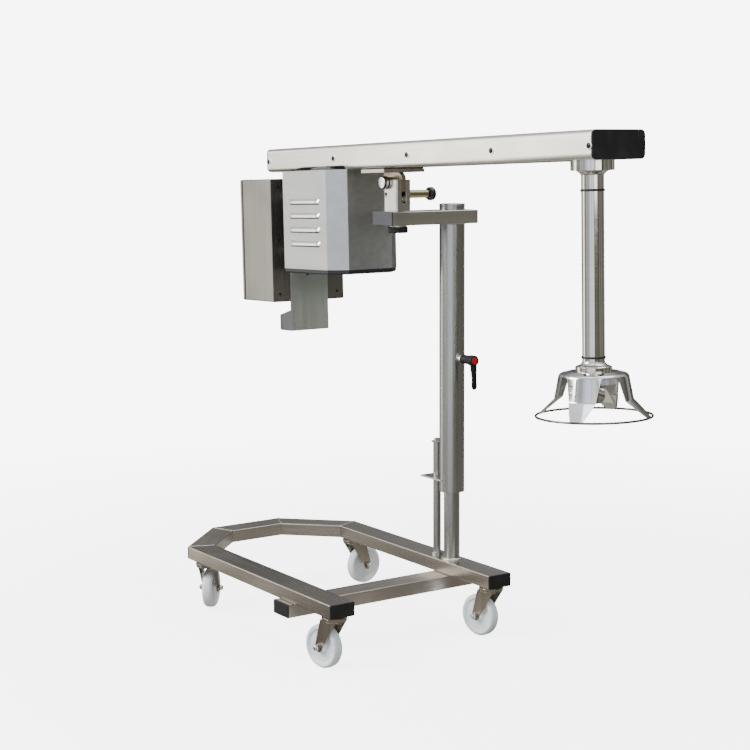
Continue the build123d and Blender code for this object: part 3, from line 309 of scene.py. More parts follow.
# ---------------------------------------------------------------- shader trees
class Tree:
    """A node tree being filled, for a material, a world or a shader group."""

    def __init__(self, tree: NodeTree) -> None:
        """Start filling a tree."""
        self.tree = tree

    def add(self, kind: str, inputs: dict[Any, Any] | None = None, **settings: Any) -> Node:
        """Add a node.

        Args:
            kind: the node's type, without its ShaderNode prefix.
            inputs: socket name or number, and the value or socket that it takes.
            settings: the node's own settings.

        Returns:
            The node.
        """
        node = self.tree.nodes.new(kind if kind.startswith("Node") else f"ShaderNode{kind}")
        for key, value in settings.items():
            setattr(node, key, value)
        for key, value in (inputs or {}).items():
            if isinstance(value, Socket):
                self.tree.links.new(value, node.inputs[key])
            else:
                node.inputs[key].default_value = value
        return node

    def reckon(
        self, operation: str, first: Any, second: Any = 0.0, third: Any = 0.0, clamp: bool = False
    ) -> Socket:
        """Return the result of a Math node.

        Args:
            operation: what it reckons.
            first, second, third: its values or sockets; only MULTIPLY_ADD reads the third.
            clamp: whether the result is kept between 0 and 1.

        Returns:
            The result's socket.
        """
        values = {0: first, 1: second, 2: third}
        return self.add("Math", values, operation=operation, use_clamp=clamp).outputs[0]

    def spread(
        self, value: Socket, low: float, high: float, start: float = 0.0, end: float = 1.0
    ) -> Socket:
        """Map a value's range low..high onto start..end, clamped."""
        inputs = {"Value": value, "From Min": low, "From Max": high, "To Min": start, "To Max": end}
        return self.add("MapRange", inputs).outputs["Result"]

    def tone(self, share: Any, first: Any, second: Any) -> Socket:
        """Blend two colours by a share."""
        node = self.add("Mix", {0: share}, data_type="RGBA")
        for socket, value in ((node.inputs[6], first), (node.inputs[7], second)):
            if isinstance(value, Socket):
                self.tree.links.new(value, socket)
            else:
                socket.default_value = (*value, 1.0)
        return node.outputs[2]


class Effect(Enum):
    """The shader groups that several finishes share."""

    GRAIN = "ground_grain"
    MARKS = "handling_marks"
    DUST = "settled_dust"
    EDGE = "softened_edge"


def effect_group(effect: Effect) -> NodeTree:
    """Return a shared shader group, building it the first time.

    Args:
        effect: which group.

    Returns:
        The group.
    """
    if effect.value in bpy.data.node_groups:
        return bpy.data.node_groups[effect.value]
    group = bpy.data.node_groups.new(effect.value, "ShaderNodeTree")
    builders = {
        Effect.GRAIN: fill_grain,
        Effect.MARKS: fill_marks,
        Effect.DUST: fill_dust,
        Effect.EDGE: fill_edge,
    }
    builders[effect](group)
    return group


def open_group(group: NodeTree, inputs: dict[str, Any], outputs: dict[str, str]) -> tuple[Tree, Any, Any]:
    """Give a group its sockets.

    Args:
        group: the new group.
        inputs: each input's name, and its default number, or the text "vector".
        outputs: each output's name and socket type.

    Returns:
        The tree, its input node and its output node.
    """
    for name, value in inputs.items():
        kind = VECTOR if value == "vector" else NUMBER
        socket = group.interface.new_socket(name, in_out="INPUT", socket_type=kind)
        if value != "vector":
            socket.default_value = value
    for name, kind in outputs.items():
        group.interface.new_socket(name, in_out="OUTPUT", socket_type=kind)
    tree = Tree(group)
    return tree, tree.add("NodeGroupInput"), tree.add("NodeGroupOutput")


def fill_grain(group: NodeTree) -> None:
    """Fine and coarse streaks: two noises on a vector that the material has already stretched."""
    tree, given, result = open_group(
        group, {"Vector": "vector", "Fineness": 300.0}, {"Fine": NUMBER, "Broad": NUMBER}
    )
    vector, fineness = given.outputs["Vector"], given.outputs["Fineness"]
    fine = tree.add("TexNoise", {"Vector": vector, "Scale": fineness, "Detail": 3.0, "Roughness": 0.65})
    broad_scale = tree.reckon("MULTIPLY", fineness, 0.12)
    broad = tree.add("TexNoise", {"Vector": vector, "Scale": broad_scale, "Detail": 2.0, "Roughness": 0.5})
    group.links.new(fine.outputs["Fac"], result.inputs["Fine"])
    group.links.new(broad.outputs["Fac"], result.inputs["Broad"])


def fill_marks(group: NodeTree) -> None:
    """Smudges and water marks: a distorted noise cut to soft patches."""
    tree, given, result = open_group(
        group, {"Vector": "vector", "Size": 8.0, "Amount": 0.5}, {"Mask": NUMBER}
    )
    vector, size = given.outputs["Vector"], given.outputs["Size"]
    noise = tree.add("TexNoise", {"Vector": vector, "Scale": size, "Detail": 1.5, "Distortion": 0.5})
    patches = tree.spread(noise.outputs["Fac"], 0.46, 0.68)
    group.links.new(tree.reckon("MULTIPLY", patches, given.outputs["Amount"]), result.inputs["Mask"])


def fill_dust(group: NodeTree) -> None:
    """Dust where a surface faces up: the normal's z, broken by noise."""
    tree, given, result = open_group(group, {"Vector": "vector", "Amount": 0.3}, {"Mask": NUMBER})
    normal = tree.add("SeparateXYZ", {"Vector": tree.add("NewGeometry").outputs["Normal"]})
    facing = tree.spread(normal.outputs["Z"], 0.4, 1.0)
    noise = tree.add("TexNoise", {"Vector": given.outputs["Vector"], "Scale": 30.0, "Detail": 2.0})
    broken = tree.reckon("MULTIPLY", facing, tree.spread(noise.outputs["Fac"], 0.35, 0.7))
    group.links.new(tree.reckon("MULTIPLY", broken, given.outputs["Amount"]), result.inputs["Mask"])


def fill_edge(group: NodeTree) -> None:
    """A rounded-edge normal with a relief laid over it."""
    tree, given, result = open_group(
        group, {"Width": 0.0008, "Relief": 0.5, "Strength": 0.1, "Depth": 0.0001}, {"Normal": VECTOR}
    )
    rounded = tree.add("Bevel", {"Radius": given.outputs["Width"]}, samples=4)
    inputs = {
        "Strength": given.outputs["Strength"],
        "Distance": given.outputs["Depth"],
        "Height": given.outputs["Relief"],
        "Normal": rounded.outputs["Normal"],
    }
    group.links.new(tree.add("Bump", inputs).outputs["Normal"], result.inputs["Normal"])


# ---------------------------------------------------------------- finishes
# How much of the grain is fine, how far roughness swings with it and rises on a mark, and shared tones.
FINE_SHARE = 0.25
STEEL_SWING = 0.10
MOULDING_SWING = 0.18
MARK_ROUGHNESS = 0.12
SMUDGE_TONE = 0.78
# Painted shade: the dark slate that faces towards -Y are blended to, standing for the shadow on the hook's
# cheek.
PAINTED_SHADE_SLATE = (0.045, 0.055, 0.065)
DUST_ON_STEEL = (0.42, 0.40, 0.37)
DUST_ON_MOULDING = (0.36, 0.34, 0.31)


class Grain(Enum):
    """Which way a ground finish runs: the turn about Z in degrees, and the stretch along x, y and z."""

    ALONG_X = (0.0, (0.02, 1.0, 1.0))
    ALONG_Y = (0.0, (1.0, 0.02, 1.0))
    ALONG_Z = (0.0, (1.0, 1.0, 0.02))
    MITRE_NEAR = (45.0, (0.02, 1.0, 1.0))
    MITRE_FAR = (-45.0, (0.02, 1.0, 1.0))
    AROUND_Z = (0.0, (0.12, 0.12, 1.6))


@dataclass(frozen=True)
class Steel:
    """Ground, satin or polished stainless steel.

    Args:
        name: the material's name.
        light, dark: the two tones that the streaks run between.
        rough: its mean roughness.
        grain: which way it was ground.
        fineness: streaks per metre, roughly.
        relief: how deep the grain bumps.
        marks: how much handling shows.
        dust: how much dust lies on top.
        edge: the width over which edges look rounded.
        painted_shade_side: how far the faces towards -Y are blended to dark slate, a painted shade for a
            shadowed side.
    """

    name: str
    light: Colour
    dark: Colour
    rough: float = 0.3
    grain: Grain = Grain.ALONG_X
    fineness: float = 420.0
    relief: float = 0.12
    marks: float = 0.5
    dust: float = 0.05
    edge: float = 0.0009
    painted_shade_side: float = 0.0

    def make(self) -> Material:
        """Return the material, made once."""
        if self.name in bpy.data.materials:
            return bpy.data.materials[self.name]
        material, tree, surface = new_material(self.name)
        turn, stretch = self.grain.value
        place = tree.add("TexCoord").outputs["Object"]
        turned = tree.add("Mapping", {"Vector": place, "Rotation": (0, 0, math.radians(turn))})
        stretched = tree.add("Mapping", {"Vector": turned.outputs[0], "Scale": stretch})
        grain = tree.add("Group", node_tree=effect_group(Effect.GRAIN))
        tree.tree.links.new(stretched.outputs[0], grain.inputs["Vector"])
        grain.inputs["Fineness"].default_value = self.fineness
        marks = place_effect(tree, Effect.MARKS, place, Size=6.0, Amount=self.marks)
        dust = place_effect(tree, Effect.DUST, place, Amount=self.dust)
        streak = tree.spread(grain.outputs["Broad"], 0.3, 0.7)
        fine = tree.spread(grain.outputs["Fine"], 0.25, 0.75)
        broad_share = tree.reckon("MULTIPLY", streak, 1 - FINE_SHARE)
        share = tree.reckon("MULTIPLY_ADD", fine, FINE_SHARE, broad_share, clamp=True)
        ground = tree.tone(share, self.dark, self.light)
        smudge = tuple(channel * SMUDGE_TONE for channel in self.dark)
        smudged = tree.tone(marks.outputs["Mask"], ground, smudge)
        # Painted shade: faces towards -Y are blended to dark slate, standing for the shadow on the hook's
        # cheek.
        if self.painted_shade_side:
            facing = tree.add("SeparateXYZ", {"Vector": tree.add("TexCoord").outputs["Normal"]})
            painted_shade = tree.spread(facing.outputs["Y"], -0.5, -0.9, 0.0, self.painted_shade_side)
            smudged = tree.tone(painted_shade, smudged, PAINTED_SHADE_SLATE)
        dusty = tree.tone(dust.outputs["Mask"], smudged, DUST_ON_STEEL)
        rough = tree.reckon("MULTIPLY_ADD", fine, STEEL_SWING, self.rough - STEEL_SWING / 2)
        rough = tree.reckon("MULTIPLY_ADD", marks.outputs["Mask"], MARK_ROUGHNESS, rough, clamp=True)
        edge = place_effect(tree, Effect.EDGE, None, Width=self.edge, Strength=self.relief, Depth=0.00012)
        tree.tree.links.new(grain.outputs["Fine"], edge.inputs["Relief"])
        link_surface(tree, surface, dusty, rough, edge.outputs["Normal"])
        surface.inputs["Metallic"].default_value = 1.0
        return material


@dataclass(frozen=True)
class Moulding:
    """Moulded plastic, rubber, lacquer or anything else that isn't bare metal.

    Args:
        name: the material's name.
        colour, worn: its colour, and its colour where rubbed or marked.
        rough: its mean roughness.
        texture: the moulded texture's grains per metre.
        relief: how deep the texture bumps.
        glow: how far light wanders inside, for a milky plastic.
        metal: how metallic its surface is.
        marks, dust: how much handling and dust show.
        edge: the width over which edges look rounded.
        gloss: how strongly its surface mirrors.
    """

    name: str
    colour: Colour
    worn: Colour
    rough: float = 0.45
    texture: float = 900.0
    relief: float = 0.2
    glow: float = 0.0
    metal: float = 0.0
    marks: float = 0.4
    dust: float = 0.06
    edge: float = 0.0008
    gloss: float = 0.5

    def make(self) -> Material:
        """Return the material, made once."""
        if self.name in bpy.data.materials:
            return bpy.data.materials[self.name]
        material, tree, surface = new_material(self.name)
        place = tree.add("TexCoord").outputs["Object"]
        noise = tree.add("TexNoise", {"Vector": place, "Scale": self.texture, "Detail": 2.0}).outputs["Fac"]
        marks = place_effect(tree, Effect.MARKS, place, Size=14.0, Amount=self.marks)
        dust = place_effect(tree, Effect.DUST, place, Amount=self.dust)
        body = tree.tone(marks.outputs["Mask"], self.colour, self.worn)
        dusty = tree.tone(dust.outputs["Mask"], body, DUST_ON_MOULDING)
        rough = tree.reckon("MULTIPLY_ADD", noise, MOULDING_SWING, self.rough - MOULDING_SWING / 2)
        rough = tree.reckon("MULTIPLY_ADD", marks.outputs["Mask"], MARK_ROUGHNESS, rough, clamp=True)
        edge = place_effect(tree, Effect.EDGE, None, Width=self.edge, Strength=self.relief, Depth=0.0001)
        tree.tree.links.new(noise, edge.inputs["Relief"])
        link_surface(tree, surface, dusty, rough, edge.outputs["Normal"])
        surface.inputs["Metallic"].default_value = self.metal
        surface.inputs["Specular IOR Level"].default_value = self.gloss
        if self.glow:
            surface.inputs["Subsurface Weight"].default_value = self.glow
            surface.inputs["Subsurface Radius"].default_value = (0.9, 1.0, 1.0)
            surface.inputs["Subsurface Scale"].default_value = 0.008
        return material


def new_material(name: str) -> tuple[Material, Tree, Node]:
    """Start a material.

    Args:
        name: its name.

    Returns:
        The material, its tree and its Principled surface.
    """
    material = bpy.data.materials.new(name)
    material.use_nodes = True
    material.node_tree.nodes.clear()
    tree = Tree(material.node_tree)
    surface = tree.add("BsdfPrincipled")
    tree.add("OutputMaterial", {"Surface": surface.outputs["BSDF"]})
    return material, tree, surface


def place_effect(tree: Tree, effect: Effect, place: Socket | None, **values: float) -> Node:
    """Put a shared group in a material.

    Args:
        tree: the material's tree.
        effect: which group.
        place: the vector that it reads, if it reads one.
        values: its other inputs.

    Returns:
        The group's node.
    """
    node = tree.add("Group", node_tree=effect_group(effect))
    if place is not None:
        tree.tree.links.new(place, node.inputs["Vector"])
    for key, value in values.items():
        node.inputs[key].default_value = value
    return node


def link_surface(tree: Tree, surface: Node, colour: Socket, rough: Socket, normal: Socket) -> None:
    """Join the varying colour, roughness and normal to the surface."""
    tree.tree.links.new(colour, surface.inputs["Base Color"])
    tree.tree.links.new(rough, surface.inputs["Roughness"])
    tree.tree.links.new(normal, surface.inputs["Normal"])


FRAME_LIGHT = (0.56, 0.525, 0.475)
FRAME_DARK = (0.44, 0.41, 0.365)
SATIN_LIGHT = (0.47, 0.47, 0.46)
SATIN_DARK = (0.38, 0.375, 0.365)

RAIL = Steel("rail_steel", FRAME_LIGHT, FRAME_DARK, rough=0.24, fineness=240.0, relief=0.015, marks=0.5)
MITRE_NEAR = Steel(
    "mitre_near_steel", FRAME_LIGHT, FRAME_DARK,
    rough=0.28, grain=Grain.MITRE_NEAR, fineness=240.0, relief=0.015, marks=0.5,
)
MITRE_FAR = Steel(
    "mitre_far_steel", FRAME_LIGHT, FRAME_DARK,
    rough=0.28, grain=Grain.MITRE_FAR, fineness=240.0, relief=0.015, marks=0.5,
)
CROSSWISE = Steel(
    "crosswise_steel", FRAME_LIGHT, FRAME_DARK,
    rough=0.28, grain=Grain.ALONG_Y, fineness=240.0, relief=0.015, marks=0.5,
)
BAR = Steel(
    "bar_steel", (0.68, 0.66, 0.61), (0.56, 0.54, 0.49),
    rough=0.30, grain=Grain.ALONG_Y, relief=0.06, marks=0.4,
)
FORK = Steel(
    "fork_steel", (0.42, 0.38, 0.32), (0.31, 0.28, 0.235),
    rough=0.26, grain=Grain.ALONG_Z, relief=0.06, marks=0.7, edge=0.0016,
)
COLUMN = Steel(
    "column_steel", SATIN_LIGHT, SATIN_DARK,
    rough=0.28, grain=Grain.ALONG_Z, marks=0.30, relief=0.03,
)
SATIN = Steel(
    "satin_steel", SATIN_LIGHT, SATIN_DARK,
    rough=0.30, grain=Grain.ALONG_Z, relief=0.06, marks=0.35,
)
POST = Steel(
    "post_steel", (0.72, 0.70, 0.66), (0.56, 0.54, 0.50),
    rough=0.24, grain=Grain.ALONG_Z, relief=0.06, marks=0.3, edge=0.003,
)
BEAM = Steel(
    "beam_steel", (0.95, 0.935, 0.89), (0.84, 0.82, 0.76),
    rough=0.18, marks=0.30, relief=0.02, edge=0.005,
)
PLATE = Steel("plate_steel", (0.66, 0.62, 0.54), (0.46, 0.42, 0.35), rough=0.28, marks=0.4)
COVER = Steel(
    "cover_steel", (0.54, 0.55, 0.56), (0.47, 0.48, 0.49),
    rough=0.38, marks=0.25, relief=0.03, edge=0.0025,
)
# Painted highlight: a near-white copy of the cover's steel for the louvre hoods, painting the bright sky that
# their sloped faces reflect.
LOUVRE_HIGHLIGHT = Steel(
    "louvre_steel", (0.97, 0.97, 0.97), (0.88, 0.88, 0.88),
    rough=0.30, marks=0.1, relief=0.03,
)
BOX = Steel(
    "box_steel", (0.31, 0.295, 0.275), (0.25, 0.237, 0.22),
    rough=0.30, grain=Grain.ALONG_Z, marks=0.5, relief=0.04, edge=0.0022,
)
# The hook's faces towards -Y are painted dark slate, a painted shade for its shadowed cheek.
HOOK = Steel(
    "hook_steel", (0.84, 0.89, 0.86), (0.66, 0.70, 0.68),
    rough=0.40, grain=Grain.ALONG_Z, marks=0.9, painted_shade_side=0.9,
)
MIRROR = Steel(
    "polished_steel", (0.80, 0.79, 0.76), (0.72, 0.71, 0.67),
    rough=0.08, grain=Grain.AROUND_Z, marks=0.25, relief=0.02, dust=0.0,
)
CHROME = Steel(
    "chromed", (0.86, 0.86, 0.85), (0.78, 0.78, 0.78),
    rough=0.12, marks=0.15, relief=0.01, dust=0.0,
)
BEAD = Steel(
    "weld_bead", (0.86, 0.82, 0.76), (0.55, 0.50, 0.44),
    rough=0.28, fineness=900.0, relief=0.2, marks=0.3,
)
OLIVE = Steel(
    "olive_passivate", (0.42, 0.38, 0.24), (0.26, 0.23, 0.14),
    rough=0.32, grain=Grain.ALONG_Y,
)
# Painted reflection: the tilt tongue is plain stainless; its gold-brown tone paints the warm surroundings
# that it reflects.
WARM_REFLECTION = Steel("straw_steel", (0.66, 0.57, 0.45), (0.42, 0.34, 0.25), rough=0.30, grain=Grain.ALONG_Z)
RING = Steel(
    "ring_wire_steel", (0.20, 0.175, 0.15), (0.12, 0.10, 0.085),
    rough=0.22, marks=0.3, relief=0.02, dust=0.0,
)
SKIRT = Steel(
    "pressed_bell_steel", (0.78, 0.79, 0.81), (0.62, 0.63, 0.65),
    rough=0.09, grain=Grain.AROUND_Z, fineness=160.0, marks=0.3, relief=0.03, dust=0.0,
)
CASTING = Moulding(
    "motor_casting", (0.20, 0.22, 0.24), (0.12, 0.13, 0.14),
    rough=0.5, texture=500.0, metal=0.6,
)
SLATE = Moulding(
    "slate_tray", (0.018, 0.021, 0.027), (0.04, 0.045, 0.052),
    rough=0.42, texture=700.0, gloss=0.3,
)
CAP_SLATE = Moulding("slate_cap", (0.030, 0.033, 0.043), (0.06, 0.065, 0.075), rough=0.45)
BLACK = Moulding(
    "black_moulding", (0.011, 0.011, 0.012), (0.03, 0.03, 0.032),
    rough=0.45, dust=0.02, gloss=0.35,
)
SATIN_BLACK = Moulding(
    "satin_black_moulding", (0.010, 0.010, 0.011), (0.02, 0.02, 0.02),
    rough=0.45, dust=0.0, gloss=0.2,
)
GLOSS_BLACK = Moulding(
    "gloss_black_ball", (0.008, 0.008, 0.009), (0.03, 0.03, 0.03),
    rough=0.20, relief=0.05,
)
BLUED = Moulding("blackened_screw", (0.014, 0.014, 0.015), (0.05, 0.05, 0.05), rough=0.36, metal=0.5)
RUBBER = Moulding("black_rubber", (0.010, 0.010, 0.010), (0.03, 0.03, 0.03), rough=0.62, texture=1400.0)
RED = Moulding("red_moulding", (0.55, 0.012, 0.014), (0.38, 0.01, 0.012), rough=0.32, relief=0.06)
GREEN = Moulding("green_moulding", (0.02, 0.22, 0.07), (0.012, 0.14, 0.05), rough=0.32, relief=0.06)
NYLON = Moulding(
    "milky_nylon", (0.87, 0.94, 0.99), (0.72, 0.78, 0.83),
    rough=0.38, texture=260.0, relief=0.08, glow=0.35, marks=0.55, dust=0.04,
)
ACETAL = Moulding("white_acetal", (0.80, 0.80, 0.77), (0.62, 0.61, 0.58), rough=0.35, relief=0.05)


def dress(frame: dict[str, Any], finish: Steel | Moulding, *nodes: str) -> None:
    """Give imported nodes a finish.

    Args:
        finish: the finish.
        nodes: the nodes' names.
    """
    for name in nodes:
        mesh = frame["nodes"][name].data
        mesh.materials.clear()
        mesh.materials.append(finish.make())


def joint(frame: dict[str, Any], name: str) -> dict[str, Any]:
    """Return a packed joint by name."""
    return next(entry for entry in frame["joints"] if entry["name"] == name)


# ---------------------------------------------------------------- trolley frame
@dataclass
class Trolley:
    """The flat-laid box frame: its tubes, their weld beads and their end caps.

    Args:
        bead: how far a weld bead stands proud.
        bead_width: half its width.
        ripple: ripples per metre of bead.
        half_mitre: half the angle that the tubes turn by at a mitre, in degrees.
    """

    frame: dict[str, Any]
    bead: float = 0.0009
    bead_width: float = 0.0028
    ripple: float = 420.0
    half_mitre: float = 22.5

    def build(self) -> None:
        """Dress the tubes and lay the beads."""
        dress(self.frame, RAIL, "near_rail", "far_rail")
        dress(self.frame, MITRE_NEAR, "near_mitre_tube")
        dress(self.frame, MITRE_FAR, "far_mitre_tube")
        dress(self.frame, CROSSWISE, "end_tube", "cross_tube")
        dress(self.frame, BAR, "head_bar")
        dress(self.frame, BLACK, "frame_end_caps")
        dress(self.frame, FORK, "castor_mounts")
        dress(self.frame, SATIN, "guide_rod")
        self.mitre_beads()
        self.cross_beads()

    def bead_along(self, shape: Shape, path: Array, normal: Numbers) -> None:
        """Lay a rippled bead along a straight path.

        Its section is half a flattened circle, (w cos a, h sin a); h swells by a quarter at each ripple.

        Args:
            shape: the mesh it joins.
            path: the points that it follows.
            normal: the way out of the surface it lies on.
        """
        run = np.linalg.norm(path - path[0], axis=1)
        swell = 0.85 + 0.25 * np.abs(np.sin(run * self.ripple * math.pi))
        angle = np.linspace(-0.25, math.pi + 0.25, 9)
        width = self.bead_width * np.cos(angle)[None] * (0.9 + 0.1 * swell[:, None])
        height = self.bead * np.sin(angle)[None] * swell[:, None]
        section = np.stack([width, height], axis=-1)
        shape.add(carried(path, section, normal), ends=True)

    def mitre_beads(self) -> None:
        """Lay a bead over the top and down the outside of each mitre."""
        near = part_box("near_mitre_tube")
        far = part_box("far_mitre_tube")
        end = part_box("end_tube")
        width = end[1].x - end[0].x
        shift = width * math.tan(math.radians(self.half_mitre))
        top = near[1].z
        seams = (
            ((near[1].x - shift, near[0].y), (near[1].x, near[0].y + width)),
            ((near[0].x, near[1].y - shift), (end[1].x, near[1].y)),
            ((far[0].x, far[0].y + shift), (end[1].x, far[0].y)),
            ((far[1].x - shift, far[1].y), (far[1].x, far[1].y - width)),
        )
        shape = Shape.empty()
        for start, stop in seams:
            share = np.linspace(0.03, 0.97, 160)[:, None]
            path = np.array([*start, top]) * (1 - share) + np.array([*stop, top]) * share
            self.bead_along(shape, path, (0, 0, 1))
            drop = np.linspace(0.08, 0.92, 80)[:, None]
            corner = np.array([*start, top])
            side = corner - drop * np.array([0, 0, top - near[0].z])
            outward = unit(np.array([start[0] - stop[0], start[1] - stop[1], 0.0]))
            self.bead_along(shape, side, outward)
        shape.put("mitre_weld_beads", "trolley", BEAD.make())

    def cross_beads(self) -> None:
        """Lay beads where the cross tube meets the undersides of the rails."""
        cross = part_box("cross_tube")
        shape = Shape.empty()
        for name in ("near_rail", "far_rail"):
            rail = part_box(name)
            for x, facing in ((cross[0].x, -1.0), (cross[1].x, 1.0)):
                share = np.linspace(0.04, 0.96, 120)[:, None]
                start = np.array([x, rail[0].y, cross[1].z - self.bead])
                stop = np.array([x, rail[1].y, cross[1].z - self.bead])
                self.bead_along(shape, start * (1 - share) + stop * share, (facing, 0, 0))
        shape.put("cross_tube_beads", "trolley", BEAD.make())


# ---------------------------------------------------------------- castors
@dataclass
class Castors:
    """Four milky nylon wheels in pressed forks.

    Args:
        crown: how far the tread bulges.
        tread: half the tread's width.
        bore, hub: the radii of the axle's hole and of the boss round it.
        rim: how deep the rim is.
        dish: how far a face lies below the tread's edge.
        nut: the axle nut's radius to its flats.
        dome: the radii at the foot and the top of its dome.
    """

    frame: dict[str, Any]
    crown: float = 0.0015
    tread: float = 0.016
    bore: float = 0.0052
    hub: float = 0.0165
    rim: float = 0.0130
    dish: float = 0.0062
    nut: float = 0.0076
    dome: tuple[float, float] = (0.0072, 0.0048)

    def build(self) -> None:
        """Dress the forks and make the wheels."""
        for name in ("near_front", "far_front", "near_back", "far_back"):
            dress(self.frame, FORK, f"castor_fork_{name}")
            self.wheel(name)

    def wheel(self, name: str) -> None:
        """Turn one wheel: a crowned tread, a recessed face with a faint dish and a hub boss.

        Args:
            name: which castor.
        """
        roll = joint(self.frame, f"roll_{name}")
        axes = Axes.along(roll["pos_m"], roll["axis"])
        high = axes.span(self.frame["nodes"][f"castor_wheel_{name}"])[1]
        radius, half = high[0], high[2]
        tread, hub, rim = self.tread, self.hub, radius - self.rim
        sunk = tread - self.dish
        half_outline = [
            (self.bore, half), (hub, half), (hub + 0.0025, sunk), (rim - 0.0035, sunk),
            (rim, tread - 0.0004), (radius - 0.0055, tread), (radius - 0.0008, tread - 0.0065),
        ]
        face = soften(half_outline, 0.0022, steps=6, closed=False)
        angle = np.linspace(-1, 1, 9)[1:-1]
        edge = face[-1]
        crowned = np.stack([edge[0] + self.crown * 0.5 * (1 - angle**2), -angle * edge[1]], axis=1)
        outline = np.vstack([face, crowned, face[::-1] * (1, -1)])
        shape = hooped(axes, outline, 128)
        piece = shape.put(f"wheel_{name}_nylon", f"wheel_{name}", NYLON.make(), crease=50.0)
        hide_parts(f"castor_wheel_{name}")
        self.nuts(name, axes)

    def nuts(self, name: str, axes: Axes) -> None:
        """Turn the domed chromed nut on each end of the axle, six-sided below its dome.

        Args:
            name: which castor.
            axes: the axle's axes.
        """
        low, high = axes.span(self.frame["nodes"][f"castor_fork_{name}"])
        steps = 36
        angle = np.linspace(0, TURN, steps, endpoint=False)
        flats = hexagon(angle, self.nut)
        foot, top = (np.full(steps, radius) for radius in self.dome)
        shape = Shape.empty()
        for end, sense in ((high[2], 1.0), (low[2], -1.0)):
            radius = np.stack([flats, flats, foot, top])
            height = end + sense * np.array([-0.0060, -0.0010, 0.0003, 0.0022])[:, None]
            level = height * np.ones(steps)
            grid = np.stack([radius * np.cos(angle), radius * np.sin(angle), level], axis=-1)
            shape.add(axes.out(grid), ends=True)
        shape.put(f"axle_nuts_{name}", f"fork_{name}", CHROME.make(), crease=30.0)


# ---------------------------------------------------------------- column
@dataclass
class Column:
    """The post, the sleeve that slides on it, its bracket, bushes, plug and weld rings.

    Args:
        ring: the radius of a weld ring's bead.
        ripples: how many ripples it has.
    """

    frame: dict[str, Any]
    ring: float = 0.0026
    ripples: int = 80

    def build(self) -> None:
        """Dress the column and lay its weld rings."""
        dress(self.frame, COLUMN, "column_post", "sleeve_tube")
        dress(self.frame, SATIN, "sleeve_plug")
        dress(self.frame, CHROME, "clamp_boss")
        dress(self.frame, ACETAL, "bushes")
        dress(self.frame, RAIL, "guide_bracket")
        dress(self.frame, CAP_SLATE, "head_bar_caps")
        post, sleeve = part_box("column_post"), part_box("sleeve_tube")
        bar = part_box("head_bar")
        sleeve_radius = sleeve[1].x
        self.weld_ring("post_foot_bead", "trolley", post[1].x - 0.001, post[0].z + 0.0012)
        self.weld_ring("bar_lower_bead", "sleeve", sleeve_radius, bar[0].z)
        self.rim("sleeve_top_rim", sleeve_radius, sleeve[1].z)

    def rim(self, name: str, radius: float, height: float) -> None:
        """Turn the polished rolled rim round the sleeve's top edge.

        Args:
            name: the piece's name.
            radius, height: the sleeve's radius and its top.
        """
        outline = soften([
            (radius - 0.004, height - 0.0006), (radius + 0.0005, height - 0.0022),
            (radius + 0.0005, height + 0.0006), (radius - 0.004, height + 0.0010),
        ], 0.0008)
        hooped(WORLD_AXES, outline).put(name, "sleeve", COLUMN.make())

    def weld_ring(self, name: str, body: str, radius: float, height: float) -> None:
        """Lay a rippled bead round the column.

        The bead's radius is b (0.85 + 0.2 |sin na|), a being the angle round the column and 2n the ripples.

        Args:
            name: the piece's name.
            body: what it rides on.
            radius, height: where the bead's middle runs.
        """
        around = np.linspace(0, TURN, 320, endpoint=False)
        section = np.linspace(0, TURN, 12, endpoint=False)
        swell = self.ring * (0.85 + 0.2 * np.abs(np.sin(self.ripples / 2 * around)))[:, None]
        out = radius + swell * np.cos(section)
        grid = np.stack([
            out * np.cos(around)[:, None], out * np.sin(around)[:, None], height + swell * np.sin(section)
        ], axis=-1)
        Shape.empty().add(grid, wrap_rows=True).put(name, body, BEAD.make(), crease=80.0)


